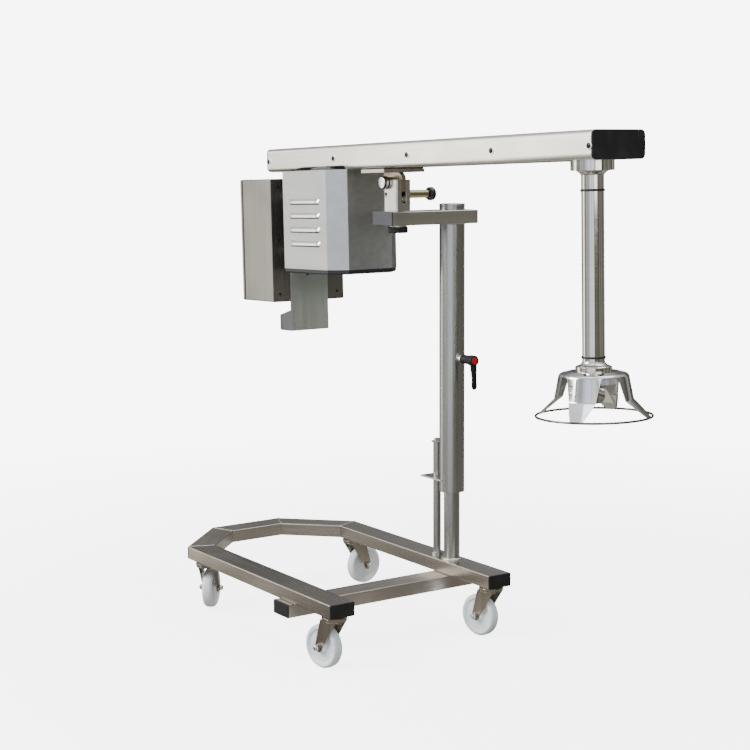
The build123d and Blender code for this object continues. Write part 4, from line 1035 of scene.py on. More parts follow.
# ---------------------------------------------------------------- clamp lever
@dataclass
class ClampLever:
    """The indexing clamp lever: a hub, an arm that hangs from it with a bulbed end, and a push button.

    Args:
        gap: the clearance between the boss and the hub.
        hub, elbow: the hub's radius next to the boss and where the arm leaves it.
        root, waist, bulb: half the arm's width at its root, its waist and its end.
        flatness: the arm's thickness over its width.
        squareness: the power that squares its section.
        bow, inset: how far it bows out, and how far its middle lies behind the hub's end.
        well, button_radius: how deep the button's recess is, and the button's radius.
    """

    frame: dict[str, Any]
    gap: float = 0.0004
    hub: float = 0.0135
    elbow: float = 0.0160
    root: float = 0.0122
    waist: float = 0.0080
    bulb: float = 0.0092
    flatness: float = 0.52
    squareness: float = 0.75
    bow: float = 0.006
    inset: float = 0.0090
    well: float = 0.004
    button_radius: float = 0.0108

    def build(self) -> None:
        """Make the lever and the button."""
        turn = joint(self.frame, "lever_turn")
        low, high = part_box("clamp_lever")
        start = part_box("clamp_boss")[1].x + self.gap
        axes = Axes.along((start, turn["pos_m"][1], turn["pos_m"][2]), turn["axis"])
        length = high.x - start
        outline = soften([
            (0.0, 0.0), (self.hub * 0.92, 0.0), (self.hub, 0.003), (self.hub, length * 0.45),
            (self.elbow, length * 0.70), (self.elbow, length - 0.002), (self.elbow * 0.86, length),
            (0.0116, length), (0.0112, length - self.well), (0.0, length - self.well),
        ], 0.0016, closed=False)
        shape = turned(axes, outline, 64)
        self.arm(shape, high.x - self.inset, turn["pos_m"][2], low.z)
        piece = shape.put("clamp_lever_moulding", "clamp_lever", SATIN_BLACK.make(), crease=45.0)
        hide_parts("clamp_lever")
        self.button(axes, length)

    def arm(self, shape: Shape, x: float, top: float, bottom: float) -> None:
        """Add the arm: an oval section whose half width goes from root to waist to bulb along a slight bow.

        Args:
            shape: the lever's mesh.
            x: where the arm's middle starts.
            top, bottom: the heights between which it hangs.
        """
        share = np.linspace(0, 1, 40)
        drop = top - share * (top - bottom)
        end = np.sqrt(np.clip(1 - ((share - 0.86) / 0.14).clip(0) ** 2, 0, 1))
        widths = [self.root, self.root * 0.82, self.waist, self.bulb, self.bulb]
        half = np.interp(share, [0, 0.35, 0.6, 0.84, 1], widths)
        half = np.maximum(half * end, 0.0002)
        bow = x + self.bow * np.sin(share * math.pi / 2)
        angle = np.linspace(0, TURN, 24, endpoint=False)
        cos = np.sign(np.cos(angle)) * np.abs(np.cos(angle)) ** self.squareness
        sin = np.sign(np.sin(angle)) * np.abs(np.sin(angle)) ** self.squareness
        grid = np.stack([
            bow[:, None] + half[:, None] * self.flatness * cos,
            half[:, None] * sin,
            np.repeat(drop[:, None], len(angle), axis=1),
        ], axis=-1)
        shape.add(grid, ends=True)

    def button(self, axes: Axes, length: float) -> None:
        """Turn the red push button in the hub's end.

        Args:
            axes: the hub's axes.
            length: the hub's length.
        """
        radius, foot = self.button_radius, length - 0.0058
        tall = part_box("clamp_button")[1].x - axes.origin[0]
        outline = soften([
            (0.0, foot), (radius, foot), (radius, tall - 0.0006), (0.0085, tall), (0.0, tall),
        ], 0.0012, closed=False)
        piece = turned(axes, outline, 48).put("release_button", "clamp_button", RED.make())
        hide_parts("clamp_button")


# ---------------------------------------------------------------- swivel head
@dataclass
class SwivelHead:
    """The slotted post on the head bar, its hinge pin, index plunger and hand knobs.

    Args:
        lobes, lobe_depth: how many grooves the hand knob has, and half their depth.
        washer: how thick the washer behind the pin's head is.
        knob_edge: the radius that rounds the pull knob.
    """

    frame: dict[str, Any]
    lobes: int = 48
    lobe_depth: float = 0.0005
    washer: float = 0.002
    knob_edge: float = 0.008

    def build(self) -> None:
        """Dress the metal pieces and make the knobs."""
        dress(self.frame, POST, "pivot_post", "swivel_spindle")
        dress(self.frame, CHROME, "hinge_pin", "plunger_pin")
        dress(self.frame, OLIVE, "plunger_body")
        self.pin_washer()
        self.hand_knob()
        self.ball_knob()

    def pin_washer(self) -> None:
        """Turn the dark washer behind the pin's head and the domed face in front of it."""
        low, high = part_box("hinge_pin")
        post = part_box("pivot_post")
        axes = Axes.along(((low.x + high.x) / 2, post[0].y, (low.z + high.z) / 2), (0, -1, 0))
        radius, tall = (high.x - low.x) / 2, post[0].y - low.y
        inner, outer = 0.008, radius * 1.05
        outline = np.array([(inner, 0.0), (outer, 0.0), (outer, self.washer), (inner, self.washer)])
        hooped(axes, outline, 64).put("pin_washer", "swivel_head", BLUED.make())
        band = soften([
            (radius * 0.90, tall - 0.0045), (radius * 1.04, tall - 0.0045),
            (radius * 1.04, tall + 0.0006), (radius * 0.90, tall + 0.0006),
        ], 0.0008)
        hooped(axes, band, 64).put("pin_band", "swivel_head", BLUED.make())
        face = soften([
            (0.0, tall - 0.001), (radius * 0.91, tall - 0.001), (radius * 0.86, tall + 0.0014),
            (radius * 0.25, tall + 0.0020), (radius * 0.16, tall + 0.0006), (0.0, tall + 0.0006),
        ], 0.0010, closed=False)
        turned(axes, face, 64).put("pin_face", "swivel_head", CHROME.make())

    def hand_knob(self) -> None:
        """Make the knurled knob under the bar.

        Its radius at angle a is R - d (1 - cos na) between its rounded rims, n being the grooves.
        """
        low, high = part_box("swivel_knob")
        axes = Axes.along(((low.x + high.x) / 2, (low.y + high.y) / 2, low.z), (0, 0, 1), (1, 0, 0))
        radius, tall = (high.x - low.x) / 2, high.z - low.z
        outline = soften([
            (0.0, 0.0015), (radius * 0.5, 0.0), (radius - 0.0012, 0.0), (radius, 0.0018),
            (radius, tall - 0.0018), (radius - 0.0012, tall), (0.0, tall),
        ], 0.0012, closed=False)
        grid = lathe(outline, self.lobes * 8)
        angle = np.linspace(0, TURN, self.lobes * 8, endpoint=False)
        rim = np.clip((outline[:, 0] - radius * 0.9) / (radius * 0.1), 0, 1)[:, None]
        bite = 1 - rim * self.lobe_depth / radius * (1 - np.cos(self.lobes * angle))
        grid[..., 0] *= bite
        grid[..., 1] *= bite
        piece = Shape.empty().add(axes.out(grid)).put("hand_knob", "swivel_knob", BLACK.make(), crease=30.0)
        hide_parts("swivel_knob")

    def ball_knob(self) -> None:
        """Turn the plunger's rounded pull knob with its short neck."""
        low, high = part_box("plunger_knob")
        axes = Axes.along(((low.x + high.x) / 2, low.y, (low.z + high.z) / 2), (0, 1, 0))
        radius, tall = (high.x - low.x) / 2, high.y - low.y
        angle = np.linspace(0.0, math.pi / 2, 12)
        edge = self.knob_edge
        crown = np.stack([radius - edge + edge * np.cos(angle), tall - edge + edge * np.sin(angle)], axis=1)
        under = np.stack([radius - edge + edge * np.sin(angle), edge - edge * np.cos(angle)], axis=1)
        outline = np.vstack([[(0.0, 0.0005)], under, crown, [(radius * 0.35, tall), (0.0, tall)]])
        piece = turned(axes, outline, 64).put("pull_knob", "plunger", GLOSS_BLACK.make())
        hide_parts("plunger_knob")


# ---------------------------------------------------------------- arm
@dataclass
class Arm:
    """The box-section arm with its caps, screws and tilt fittings.

    Args:
        axes: the arm's axes at the hinge pin.
        socket: the radius of a screw's socket, to its flats.
        per_side: the screws along each side.
        head, washer: the radii of a screw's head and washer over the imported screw's.
    """

    frame: dict[str, Any]
    axes: Axes
    socket: float = 0.0022
    per_side: int = 5
    head: float = 1.5
    washer: float = 2.0

    def build(self) -> None:
        """Dress the arm and make its screws."""
        dress(self.frame, BEAM, "arm_beam")
        dress(self.frame, BLACK, "arm_end_caps")
        dress(self.frame, RUBBER, "tilt_pad", "drive_belt")
        dress(self.frame, PLATE, "tilt_plate")
        # The tongue's gold-brown tone is a painted reflection.
        dress(self.frame, WARM_REFLECTION, "tilt_tongue")
        dress(self.frame, SATIN, "drive_pulley")
        self.screws()

    def screws(self) -> None:
        """Make the button-head screws along both sides, each with a hexagon socket."""
        low, high = self.axes.span(self.frame["nodes"]["arm_screws"])
        radius = (high[2] - low[2]) / 2
        beam_low, beam_high = self.axes.span(self.frame["nodes"]["arm_beam"])
        centres = np.linspace(low[0] + radius, high[0] - radius, self.per_side)
        outer = radius * self.washer
        ring = soften([(radius, 0.0), (outer, 0.0), (outer - radius * 0.1, 0.0012), (radius, 0.0012)], 0.0003)
        shape, washers = Shape.empty(), Shape.empty()
        for side, wall in ((-1.0, beam_low[1]), (1.0, beam_high[1])):
            outward = self.axes.y * side
            for centre in centres:
                origin = self.axes.out(np.array([centre, wall, low[2] + radius]))
                seat = Axes.along(origin, outward, self.axes.z)
                button_screw(shape, seat, radius * self.head, high[1] - beam_high[1], self.socket)
                washers.add(seat.out(lathe(ring, 32)), wrap_rows=True)
        piece = shape.put("arm_button_screws", "arm", BLUED.make(), crease=40.0)
        washers.put("arm_screw_washers", "arm", CHROME.make())
        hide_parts("arm_screws")


def button_screw(shape: Shape, axes: Axes, radius: float, tall: float, socket: float) -> None:
    """Add a domed screw head with a hexagon socket.

    The dome's height over the radius r is h sqrt(1 - (r/R)^2) raised to 0.8; the socket is six-sided.

    Args:
        shape: the mesh it joins.
        axes: its seat, with z pointing out.
        radius, tall: the head's size.
        socket: the socket's radius.
    """
    share = np.linspace(1, socket * 1.25 / radius, 8)
    outline = np.stack([radius * share, tall * np.clip(1 - share**2, 0, 1) ** 0.4], axis=1)
    turns = 24
    grid = lathe(outline, turns)
    angle = np.linspace(0, TURN, turns, endpoint=False)
    flats = hexagon(angle, socket)
    walls = np.stack([flats * np.cos(angle), flats * np.sin(angle)], axis=-1)
    lip = np.concatenate([walls, np.full((turns, 1), tall * 0.97)], axis=1)[None]
    floor = np.concatenate([walls, np.full((turns, 1), tall * 0.3)], axis=1)[None]
    middle = np.repeat(np.array([[[0, 0, tall * 0.25]]]), turns, axis=1)
    base = np.repeat(np.zeros((1, 1, 3)), turns, axis=1)
    shape.add(axes.out(np.concatenate([base, grid, lip, floor, middle])))


# ---------------------------------------------------------------- motor housing and box
@dataclass
class DriveHead:
    """The motor under its folded cover, the control box behind it, its controls, hook and cord gland.

    Args:
        axes: the arm's axes at the hinge pin.
        screw: the radius of a screw in the box's back plate.
        seam_reach, seam_width: how far the seam starts behind the lid's edge, and its width.
        pressing: how far a packed louvre stands out from the housing's wall.
        hood_depth, hood_height: how far a louvre's hood stands out, and how high it is.
        overlap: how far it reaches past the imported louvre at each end.
        stem, flute, flutes: the radius of a button's stem, the depth of the dial's flutes as a share
            of its radius, and their number.
        sweep, ticks: half the angle of the dial's scale in degrees, and its ticks.
    """

    frame: dict[str, Any]
    axes: Axes
    screw: float = 0.0045
    seam_reach: float = 0.0115
    seam_width: float = 0.0060
    pressing: float = 0.006
    hood_depth: float = 0.0070
    hood_height: float = 0.0140
    overlap: float = 0.008
    stem: float = 0.0055
    flute: float = 0.03
    flutes: int = 18
    sweep: float = 135.0
    ticks: int = 11

    def build(self) -> None:
        """Dress the covers and make the controls and screws."""
        dress(self.frame, COVER, "motor_housing")
        dress(self.frame, SLATE, "housing_base")
        dress(self.frame, CASTING, "motor")
        dress(self.frame, BOX, "control_box", "control_lid")
        dress(self.frame, SATIN, "box_spacers")
        dress(self.frame, HOOK, "cable_hook")
        dress(self.frame, BLACK, "cable_gland")
        self.box_screws()
        self.lid_seam()
        self.louvres()
        self.stop_button()
        self.start_button()
        self.dial()

    def box_screws(self) -> None:
        """Make the four screws in the box's back plate."""
        low, high = self.axes.span(self.frame["nodes"]["box_screws"])
        radius, tall = self.screw, high[0] - low[0]
        shape = Shape.empty()
        for y in (low[1] + radius, high[1] - radius):
            for z in (low[2] + radius, high[2] - radius):
                origin = self.axes.out(np.array([low[0], y, z]))
                seat = Axes.along(origin, self.axes.x, self.axes.z)
                button_screw(shape, seat, radius, tall, radius * 0.4)
        piece = shape.put("box_button_screws", "arm", BLUED.make(), crease=40.0)
        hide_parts("box_screws")

    def lid_seam(self) -> None:
        """Lay the dark seam between the box and its lid, a flat band round both."""
        high = self.axes.span(self.frame["nodes"]["control_lid"])[1]
        box_low, box_high = self.axes.span(self.frame["nodes"]["control_box"])
        x = float(max(box_low[0], high[0] - self.seam_reach))
        half = np.array([(box_high[1] - box_low[1]) / 2, (box_high[2] - box_low[2]) / 2])
        middle = np.array([(box_low[1] + box_high[1]) / 2, (box_low[2] + box_high[2]) / 2])
        corners = np.array([(-1, -1), (1, -1), (1, 1), (-1, 1)]) * (half + 0.0006) + middle
        loop = soften(corners, 0.005)
        inner = middle + (loop - middle) * 0.97
        end = x + self.seam_width
        rows = np.array([
            np.column_stack([np.full(len(ring), place), ring])
            for ring, place in ((inner, x), (loop, x), (loop, end), (inner, end))
        ])
        Shape.empty().add(self.axes.out(rows), wrap_rows=True).put("lid_seam", "arm", RUBBER.make())

    def louvres(self) -> None:
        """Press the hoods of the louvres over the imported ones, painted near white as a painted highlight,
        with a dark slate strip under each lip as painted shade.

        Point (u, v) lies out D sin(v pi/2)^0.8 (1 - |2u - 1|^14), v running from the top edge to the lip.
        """
        flat = np.empty(len(self.frame["nodes"]["motor_housing"].data.vertices) * 3)
        self.frame["nodes"]["motor_housing"].data.vertices.foreach_get("co", flat)
        sides = np.stack([self.axes.x, self.axes.y, self.axes.z], axis=1)
        here = (flat.reshape(-1, 3) - self.axes.origin) @ sides
        middle = (here[:, 1].min() + here[:, 1].max()) / 2
        hoods, shade_slots = Shape.empty(), Shape.empty()
        for sense in (-1.0, 1.0):
            out = (here[:, 1] - middle) * sense
            proud = here[out > out.max() - 0.0004]
            wall = out.max() - self.pressing
            levels = np.sort(proud[:, 2])
            groups = np.split(levels, np.flatnonzero(np.diff(levels) > 0.010) + 1)
            start, stop = proud[:, 0].min() - self.overlap, proud[:, 0].max() + self.overlap
            for group in groups:
                self.louvre(hoods, shade_slots, (start, stop), float(group.min()), (middle, sense, wall))
        # The hoods carry a painted highlight and the dark strips under the lips a painted shade.
        hoods.put("louvre_hoods", "arm", LOUVRE_HIGHLIGHT.make(), crease=50.0)
        shade_slots.put("louvre_painted_shade_slots", "arm", SLATE.make())

    def louvre(
        self, hoods: Shape, shade_slots: Shape, span: tuple[float, float], lip: float,
        side: tuple[float, float, float],
    ) -> None:
        """Add one louvre's hood and the dark strip under it that paints the shade in its opening.

        Args:
            hoods, shade_slots: the meshes that they join; the strips under the lips are painted shade.
            span: where it starts and stops along the arm.
            lip: the height of its lip.
            side: the housing's middle across, the sense of its side and how far out its wall lies.
        """
        middle, sense, wall = side
        along = np.linspace(0, 1, 41)[:, None]
        down = np.linspace(0, 1, 12)[None]
        swell = 1 - np.abs(2 * along - 1) ** 14
        out = wall - 0.0002 + self.hood_depth * np.sin(down * math.pi / 2) ** 0.8 * swell
        out = np.hstack([out, np.full_like(along, wall - 0.0014)])
        down = np.hstack([down, [[1.0]]])
        place = np.broadcast_to(span[0] + (span[1] - span[0]) * along, out.shape)
        height = lip - 0.0006 + self.hood_height * (1 - down) * np.ones_like(along)
        hoods.add(self.axes.out(np.stack([place, middle + sense * out, height], axis=-1)), ends=True)
        # Painted shade: a dark slate strip under the lip stands for the shadow in the louvre's opening.
        inset = (span[1] - span[0]) * 0.03
        corners = np.array([
            (span[0] + inset, lip - 0.0046), (span[1] - inset, lip - 0.0046),
            (span[1] - inset, lip - 0.0008), (span[0] + inset, lip - 0.0008),
        ])
        rows = [np.column_stack([corners[:, 0], np.full(4, middle + sense * (wall + rise)), corners[:, 1]])
                for rise in (-0.0005, 0.0014)]
        shade_slots.add(self.axes.out(np.array(rows)), ends=True)

    def lid_axes(self, node: str) -> tuple[Axes, float, float]:
        """Return the axes of a control on the lid, and its radius and height above them.

        Args:
            node: the control's node.

        Returns:
            Axes at the lid's face with z out of the lid, the radius, and the height.
        """
        low, high = self.axes.span(self.frame["nodes"][node])
        lid_low = self.axes.span(self.frame["nodes"]["control_lid"])[0]
        middle = (low + high) / 2
        origin = self.axes.out(np.array([lid_low[0], middle[1], middle[2]]))
        return Axes.along(origin, -self.axes.x, self.axes.z), (high[1] - low[1]) / 2, lid_low[0] - low[0]

    def collar(self, name: str, axes: Axes, inner: float, outer: float) -> None:
        """Turn the chromed collar that holds a control in the lid.

        Args:
            name: the piece's name.
            axes: the control's axes.
            inner, outer: the collar's radii.
        """
        outline = soften([(inner, -0.001), (outer, -0.001), (outer, 0.0018), (inner, 0.0026)], 0.0006)
        hooped(axes, outline, 64).put(name, "arm", CHROME.make())

    def stop_button(self) -> None:
        """Turn the mushroom stop button: a stem under a domed cap with a rolled rim."""
        axes, radius, tall = self.lid_axes("stop_button")
        outline = soften([
            (0.0, 0.0), (self.stem, 0.0), (self.stem, 0.0080), (radius * 0.9, 0.0092), (radius, 0.0128),
            (radius * 0.93, tall - 0.0055), (radius * 0.55, tall - 0.0008), (0.0, tall),
        ], 0.0035, steps=7, closed=False)
        piece = turned(axes, outline, 72).put("stop_cap", "stop_button", RED.make(), 50.0)
        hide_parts("stop_button")
        self.collar("stop_collar", axes, 0.0072, radius * 0.72)

    def start_button(self) -> None:
        """Turn the flush start button with a shallow dished face."""
        axes, radius, tall = self.lid_axes("start_button")
        outline = soften([
            (0.0, 0.0), (self.stem, 0.0), (self.stem, 0.0045), (radius, 0.0046), (radius, tall - 0.001),
            (radius * 0.86, tall), (radius * 0.6, tall - 0.0008), (0.0, tall - 0.0012),
        ], 0.0010, closed=False)
        piece = turned(axes, outline, 64).put("start_cap", "start_button", GREEN.make(), 50.0)
        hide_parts("start_button")
        self.collar("start_collar", axes, radius * 1.06, radius * 1.28)

    def dial(self) -> None:
        """Make the fluted speed dial.

        Its radius at angle a is R (1 - f (1 - cos na) / 2) over its side, and it has a pointer line.
        """
        axes, radius, tall = self.lid_axes("speed_dial")
        outline = soften([
            (0.0, 0.0006), (radius, 0.0006), (radius, 0.0035), (radius * 0.88, 0.0048),
            (radius * 0.80, tall - 0.0012), (radius * 0.72, tall), (0.0, tall),
        ], 0.0012, closed=False)
        turns = self.flutes * 12
        grid = lathe(outline, turns)
        angle = np.linspace(0, TURN, turns, endpoint=False)
        fluted = ((outline[:, 1] > 0.0044) & (outline[:, 0] > radius * 0.6))[:, None]
        bite = 1 - fluted * self.flute * (1 - np.cos(self.flutes * angle)) / 2
        grid[..., :2] *= bite[..., None]
        piece = Shape.empty().add(axes.out(grid)).put("speed_knob", "speed_dial", BLACK.make(), 30.0)
        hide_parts("speed_dial")
        near, far, half = radius * 0.25, radius * 0.68, 0.0007
        line = np.array([(near, -half), (far, -half), (far, half), (near, half)])
        rows = np.array([
            np.column_stack([line, np.full(4, height)]) for height in (tall - 0.0004, tall + 0.0003)
        ])
        Shape.empty().add(axes.out(rows), ends=True).put("dial_pointer", "speed_dial", ACETAL.make())
        self.scale_marks(axes, radius)

    def scale_marks(self, axes: Axes, radius: float) -> None:
        """Engrave plain ticks round the dial, over three quarters of a turn."""
        shape = Shape.empty()
        for angle in np.radians(np.linspace(-self.sweep, self.sweep, self.ticks)):
            out = np.array([math.cos(angle), math.sin(angle), 0])
            across = np.array([-out[1], out[0], 0]) * 0.0005
            ends = (out * radius * 1.12, out * radius * 1.28)
            foot = np.array([ends[0] - across, ends[1] - across, ends[1] + across, ends[0] + across])
            rows = np.stack([foot - (0, 0, 0.0003), foot + (0, 0, 0.0002)])
            shape.add(axes.out(rows), ends=True)
        shape.put("dial_scale", "arm", BLUED.make())


# ---------------------------------------------------------------- mixing tool
@dataclass
class MixingTool:
    """The shaft tube with its seals, the rotor, and the pressed bell with four legs on a wire ring.

    Args:
        axes: the tool's own axes.
        seal: half a seal ring's thickness and half its height.
    """

    frame: dict[str, Any]
    axes: Axes
    seal: tuple[float, float] = (0.0020, 0.0029)

    def build(self) -> None:
        """Dress the metal and make the seals."""
        dress(self.frame, MIRROR, "tool_tube", "tool_rotor")
        dress(self.frame, SKIRT, "tool_cage")
        dress(self.frame, RING, "cage_ring")
        dress(self.frame, ACETAL, "shaft_guide")
        self.seals()

    def seals(self) -> None:
        """Turn the two rubber rings in the tube's grooves."""
        low, high = self.axes.span(self.frame["nodes"]["tool_seals"])
        radius = (high[1] - low[1]) / 2 - 0.0008
        angle = np.linspace(0, TURN, 16, endpoint=False)
        shape = Shape.empty()
        for height in (high[2] - 0.0025, low[2] + 0.0025):
            outline = np.stack([
                radius + self.seal[0] * np.cos(angle), height + self.seal[1] * np.sin(angle)
            ], axis=1)
            shape.add(self.axes.out(lathe(outline)), wrap_rows=True)
        piece = shape.put("tube_seal_rings", "arm", RUBBER.make(), crease=60.0)
        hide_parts("tool_seals")


# ---------------------------------------------------------------- studio
@dataclass
class Studio:
    """The pale floor, the soft lights and the camera.

    Args:
        eye: where the camera stands.
        yaw, pitch, roll: how it is turned, in degrees.
        lens: its focal length on a 36 mm sensor, in millimetres.
        paper: the floor's colour.
        shade: the floor's tone as the metal reflects it.
        lift, glow: how much brighter the paper looks near by and far off.
        fade: the distances between which the near floor's tones give way to the room's.
        middle: what the lights face.
        ceiling: the room's tone overhead.
        bands: the room's tone by heading, in degrees from +X towards +Y.
    """

    eye: Point = (3.9407, -2.9185, 1.4326)
    yaw: float = 56.17
    pitch: float = 7.77
    roll: float = -0.31
    lens: float = 79.15
    paper: Colour = (1.0, 1.0, 1.0)
    shade: Colour = (0.43, 0.40, 0.36)
    lift: float = 4.2
    glow: float = 7.5
    fade: tuple[float, float] = (1.2, 3.6)
    middle: Point = (0.1, -0.2, 0.75)
    ceiling: Colour = (1.25, 1.25, 1.25)
    bands: tuple[tuple[float, Colour], ...] = (
        (-180.0, (0.30, 0.28, 0.25)), (-164.0, (0.30, 0.275, 0.24)), (-150.0, (3.90, 3.76, 3.44)),
        (-138.0, (2.60, 2.53, 2.35)), (-122.0, (0.42, 0.40, 0.38)), (-96.0, (0.62, 0.62, 0.62)),
        (-76.0, (0.85, 0.88, 0.92)), (-56.0, (1.10, 1.19, 1.34)), (-42.0, (1.30, 1.30, 1.27)),
        (-32.0, (0.80, 0.79, 0.76)), (-22.0, (0.17, 0.165, 0.145)), (4.0, (0.15, 0.18, 0.105)),
        (18.0, (0.17, 0.16, 0.13)), (34.0, (0.40, 0.385, 0.35)), (52.0, (0.26, 0.24, 0.21)),
        (74.0, (0.12, 0.11, 0.09)), (88.0, (0.50, 0.50, 0.48)), (104.0, (0.11, 0.12, 0.09)),
        (128.0, (0.17, 0.155, 0.135)), (146.0, (0.27, 0.27, 0.275)), (180.0, (0.30, 0.28, 0.25)),
    )

    def build(self) -> None:
        """Set the room, floor, lights and camera."""
        self.room()
        self.floor()
        self.lamp("key_light", (-1.6, -5.0, 3.4), 3.2, 400.0, (1.0, 0.985, 0.96))
        self.lamp("fill_light", (5.2, -1.0, 2.6), 2.6, 60.0, (0.95, 0.98, 1.0))
        self.lamp("top_light", (0.4, 0.6, 4.6), 3.6, 90.0, (1.0, 1.0, 1.0))
        self.camera()

    def room(self) -> None:
        """Light the room by its bands and show plain paper behind the object."""
        world = bpy.data.worlds.new("studio_room")
        bpy.context.scene.world = world
        world.use_nodes = True
        world.node_tree.nodes.clear()
        tree = Tree(world.node_tree)
        way = tree.add("TexCoord").outputs["Generated"]
        bands = self.banded(tree, way)
        reflected = tree.add("Background", {"Color": bands, "Strength": 1.0})
        plain = tree.add("Background", {"Color": (*self.paper, 1.0), "Strength": self.glow})
        rays = tree.add("LightPath").outputs["Is Camera Ray"]
        mixed = tree.add("MixShader", {0: rays, 1: reflected.outputs[0], 2: plain.outputs[0]})
        tree.add("OutputWorld", {"Surface": mixed.outputs[0]})

    def banded(self, tree: Tree, way: Socket) -> Socket:
        """Put the room's bands in a tree.

        Args:
            tree: the tree.
            way: the direction that is looked in, from the middle of the room.

        Returns:
            Their colour.
        """
        node = tree.add("Group", {"Vector": way}, node_tree=self.band_group())
        return node.outputs["Colour"]

    def band_group(self) -> NodeTree:
        """Return the group that turns a direction into the room's tone, made once.

        The heading picks a tone from the bands, a noise squeezed in height breaks it into finer strips,
        and the ceiling takes over as the direction rises.
        """
        if "room_bands" in bpy.data.node_groups:
            return bpy.data.node_groups["room_bands"]
        group = bpy.data.node_groups.new("room_bands", "ShaderNodeTree")
        tree, given, result = open_group(group, {"Vector": "vector"}, {"Colour": COLOUR})
        way = tree.add("VectorMath", {0: given.outputs["Vector"]}, operation="NORMALIZE").outputs[0]
        parts = tree.add("SeparateXYZ", {"Vector": way})
        heading = tree.reckon("ARCTAN2", parts.outputs["Y"], parts.outputs["X"])
        ramp = tree.add("ValToRGB", {"Fac": tree.spread(heading, -math.pi, math.pi)})
        ramp.color_ramp.interpolation = "EASE"
        stops = ramp.color_ramp.elements
        for number, (degrees, colour) in enumerate(self.bands):
            place = (degrees + 180) / 360
            stop = stops[number] if number < 2 else stops.new(place)
            stop.position, stop.color = place, (*colour, 1.0)
        flat = tree.add("Mapping", {"Vector": way, "Scale": (1.0, 1.0, 0.12)})
        strips = tree.add("TexNoise", {"Vector": flat.outputs[0], "Scale": 7.0, "Detail": 1.0}).outputs["Fac"]
        depth = tree.spread(strips, 0.40, 0.60, 0.35, 1.25)
        scaled = {0: ramp.outputs["Color"], "Scale": depth}
        dimmed = tree.add("VectorMath", scaled, operation="SCALE").outputs[0]
        raised = tree.spread(parts.outputs["Z"], 0.32, 0.90)
        group.links.new(tree.tone(raised, dimmed, self.ceiling), result.inputs["Colour"])
        return group

    def floor(self) -> None:
        """Lay a wide round floor whose tone runs into the room's with distance."""
        radius = np.array([0.0, 2.0, 6.0, 20.0, 60.0])
        grid = lathe(np.stack([radius, np.zeros_like(radius)], axis=1))
        mesh = bpy.data.meshes.new("studio_floor")
        mesh.from_pydata(grid.reshape(-1, 3).tolist(), [], grid_faces(*grid.shape[:2]).tolist())
        floor = bpy.data.objects.new("studio_floor", mesh)
        bpy.context.scene.collection.objects.link(floor)
        material = bpy.data.materials.new("studio_paper")
        material.use_nodes = True
        material.node_tree.nodes.clear()
        tree = Tree(material.node_tree)
        place = tree.add("TexCoord").outputs["Object"]
        distance = tree.add("VectorMath", {0: place}, operation="LENGTH").outputs["Value"]
        rays = tree.add("LightPath").outputs["Is Camera Ray"]
        noise = tree.add("TexNoise", {"Vector": place, "Scale": 3.0}).outputs["Fac"]
        tint = tree.tone(noise, (0.80, 0.80, 0.80), (0.84, 0.84, 0.84))
        matt = tree.add("BsdfPrincipled", {"Base Color": tint, "Roughness": 0.8})
        lit = tree.add("Emission", {"Color": (*self.paper, 1.0), "Strength": self.lift})
        paper = tree.add("AddShader", {0: matt.outputs[0], 1: lit.outputs[0]})
        patches = tree.add("TexNoise", {"Vector": place, "Scale": 1.9, "Detail": 1.0}).outputs["Fac"]
        beyond = tree.spread(tree.add("SeparateXYZ", {"Vector": place}).outputs["X"], 0.1, 0.9, 1.0, 0.55)
        depth = tree.reckon("MULTIPLY", tree.spread(patches, 0.38, 0.62, 0.40, 1.75), beyond)
        shade = tree.add("Emission", {"Color": (*self.shade, 1.0), "Strength": depth})
        near = tree.add("MixShader", {0: rays, 1: shade.outputs[0], 2: paper.outputs[0]})
        seen = tree.add("Emission", {"Color": (*self.paper, 1.0), "Strength": self.glow})
        bands = tree.add("Emission", {"Color": self.banded(tree, place), "Strength": 1.0})
        far = tree.add("MixShader", {0: rays, 1: bands.outputs[0], 2: seen.outputs[0]})
        fade = tree.spread(distance, *self.fade)
        mixed = tree.add("MixShader", {0: fade, 1: near.outputs[0], 2: far.outputs[0]})
        tree.add("OutputMaterial", {"Surface": mixed.outputs[0]})
        mesh.materials.append(material)

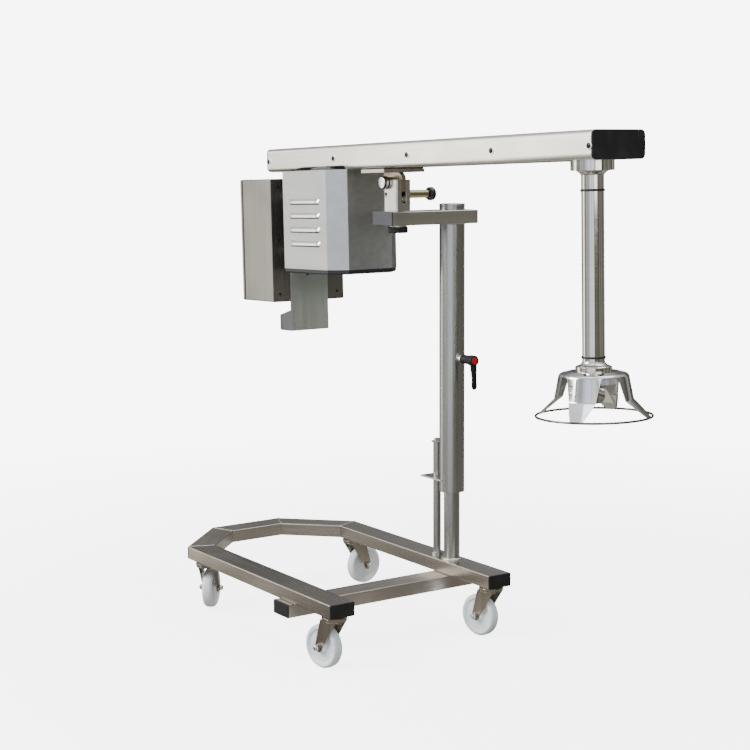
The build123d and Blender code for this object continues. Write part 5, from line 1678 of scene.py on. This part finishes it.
    def lamp(self, name: str, place: Point, size: float, power: float, colour: Colour) -> None:
        """Hang a square soft light that faces the object.

        Args:
            name: its name.
            place: where it hangs.
            size: its side.
            power: in watts.
            colour: its colour.
        """
        light = bpy.data.lights.new(name, "AREA")
        light.size, light.energy, light.color = size, power, colour
        lamp = bpy.data.objects.new(name, light)
        bpy.context.scene.collection.objects.link(lamp)
        middle = Vector(self.middle)
        lamp.matrix_world = Matrix.Translation(place) @ (
            (Vector(place) - middle).to_track_quat("Z", "Y").to_matrix().to_4x4()
        )

    def camera(self) -> None:
        """Stand the camera at its place, turned by its three angles."""
        yaw, pitch, roll = (math.radians(angle) for angle in (self.yaw, self.pitch, self.roll))
        ahead = np.array([
            -math.sin(yaw) * math.cos(pitch), math.cos(yaw) * math.cos(pitch), -math.sin(pitch)
        ])
        level = np.array([math.cos(yaw), math.sin(yaw), 0.0])
        upright = np.cross(level, ahead)
        right = level * math.cos(roll) + upright * math.sin(roll)
        up = -level * math.sin(roll) + upright * math.cos(roll)
        lens = bpy.data.cameras.new("studio_camera")
        lens.lens, lens.sensor_width = self.lens, 36.0
        lens.clip_end = 200.0
        camera = bpy.data.objects.new("studio_camera", lens)
        bpy.context.scene.collection.objects.link(camera)
        facing = Matrix([[*row] for row in np.stack([right, up, -ahead], axis=1)])
        camera.matrix_world = Matrix.Translation(self.eye) @ facing.to_4x4()
        bpy.context.scene.camera = camera


def arm_axes(frame: dict[str, Any]) -> tuple[Axes, Axes]:
    """Work out the arm's own axes from its joints.


    Returns:
        Axes at the hinge pin and at the mixing tool, x along the arm and z up out of it.
    """
    up = joint(frame, "rotor_spin")["axis"]
    hinge = Axes.along(joint(frame, "arm_tilt")["pos_m"], up, (1, 0, 0))
    spin = np.array(joint(frame, "rotor_spin")["pos_m"])
    beam_low = hinge.span(frame["nodes"]["arm_beam"])[0][2]
    along = np.dot(spin - hinge.origin, hinge.x)
    return hinge, hinge.shifted(x=float(along), z=float(beam_low))


def main() -> None:
    """Load the frame, build each sub-assembly in order and report it."""
    logging.basicConfig(level=logging.INFO, format="%(message)s")
    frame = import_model()
    hinge, tool = arm_axes(frame)
    builders = (
        Trolley(frame), Castors(frame), Column(frame), ClampLever(frame), SwivelHead(frame),
        Arm(frame, hinge), DriveHead(frame, hinge), MixingTool(frame, tool), Studio(),
    )
    for builder in builders:
        builder.build()
        LOG.info("%s built", type(builder).__name__)


if __name__ == "__main__":
    main()
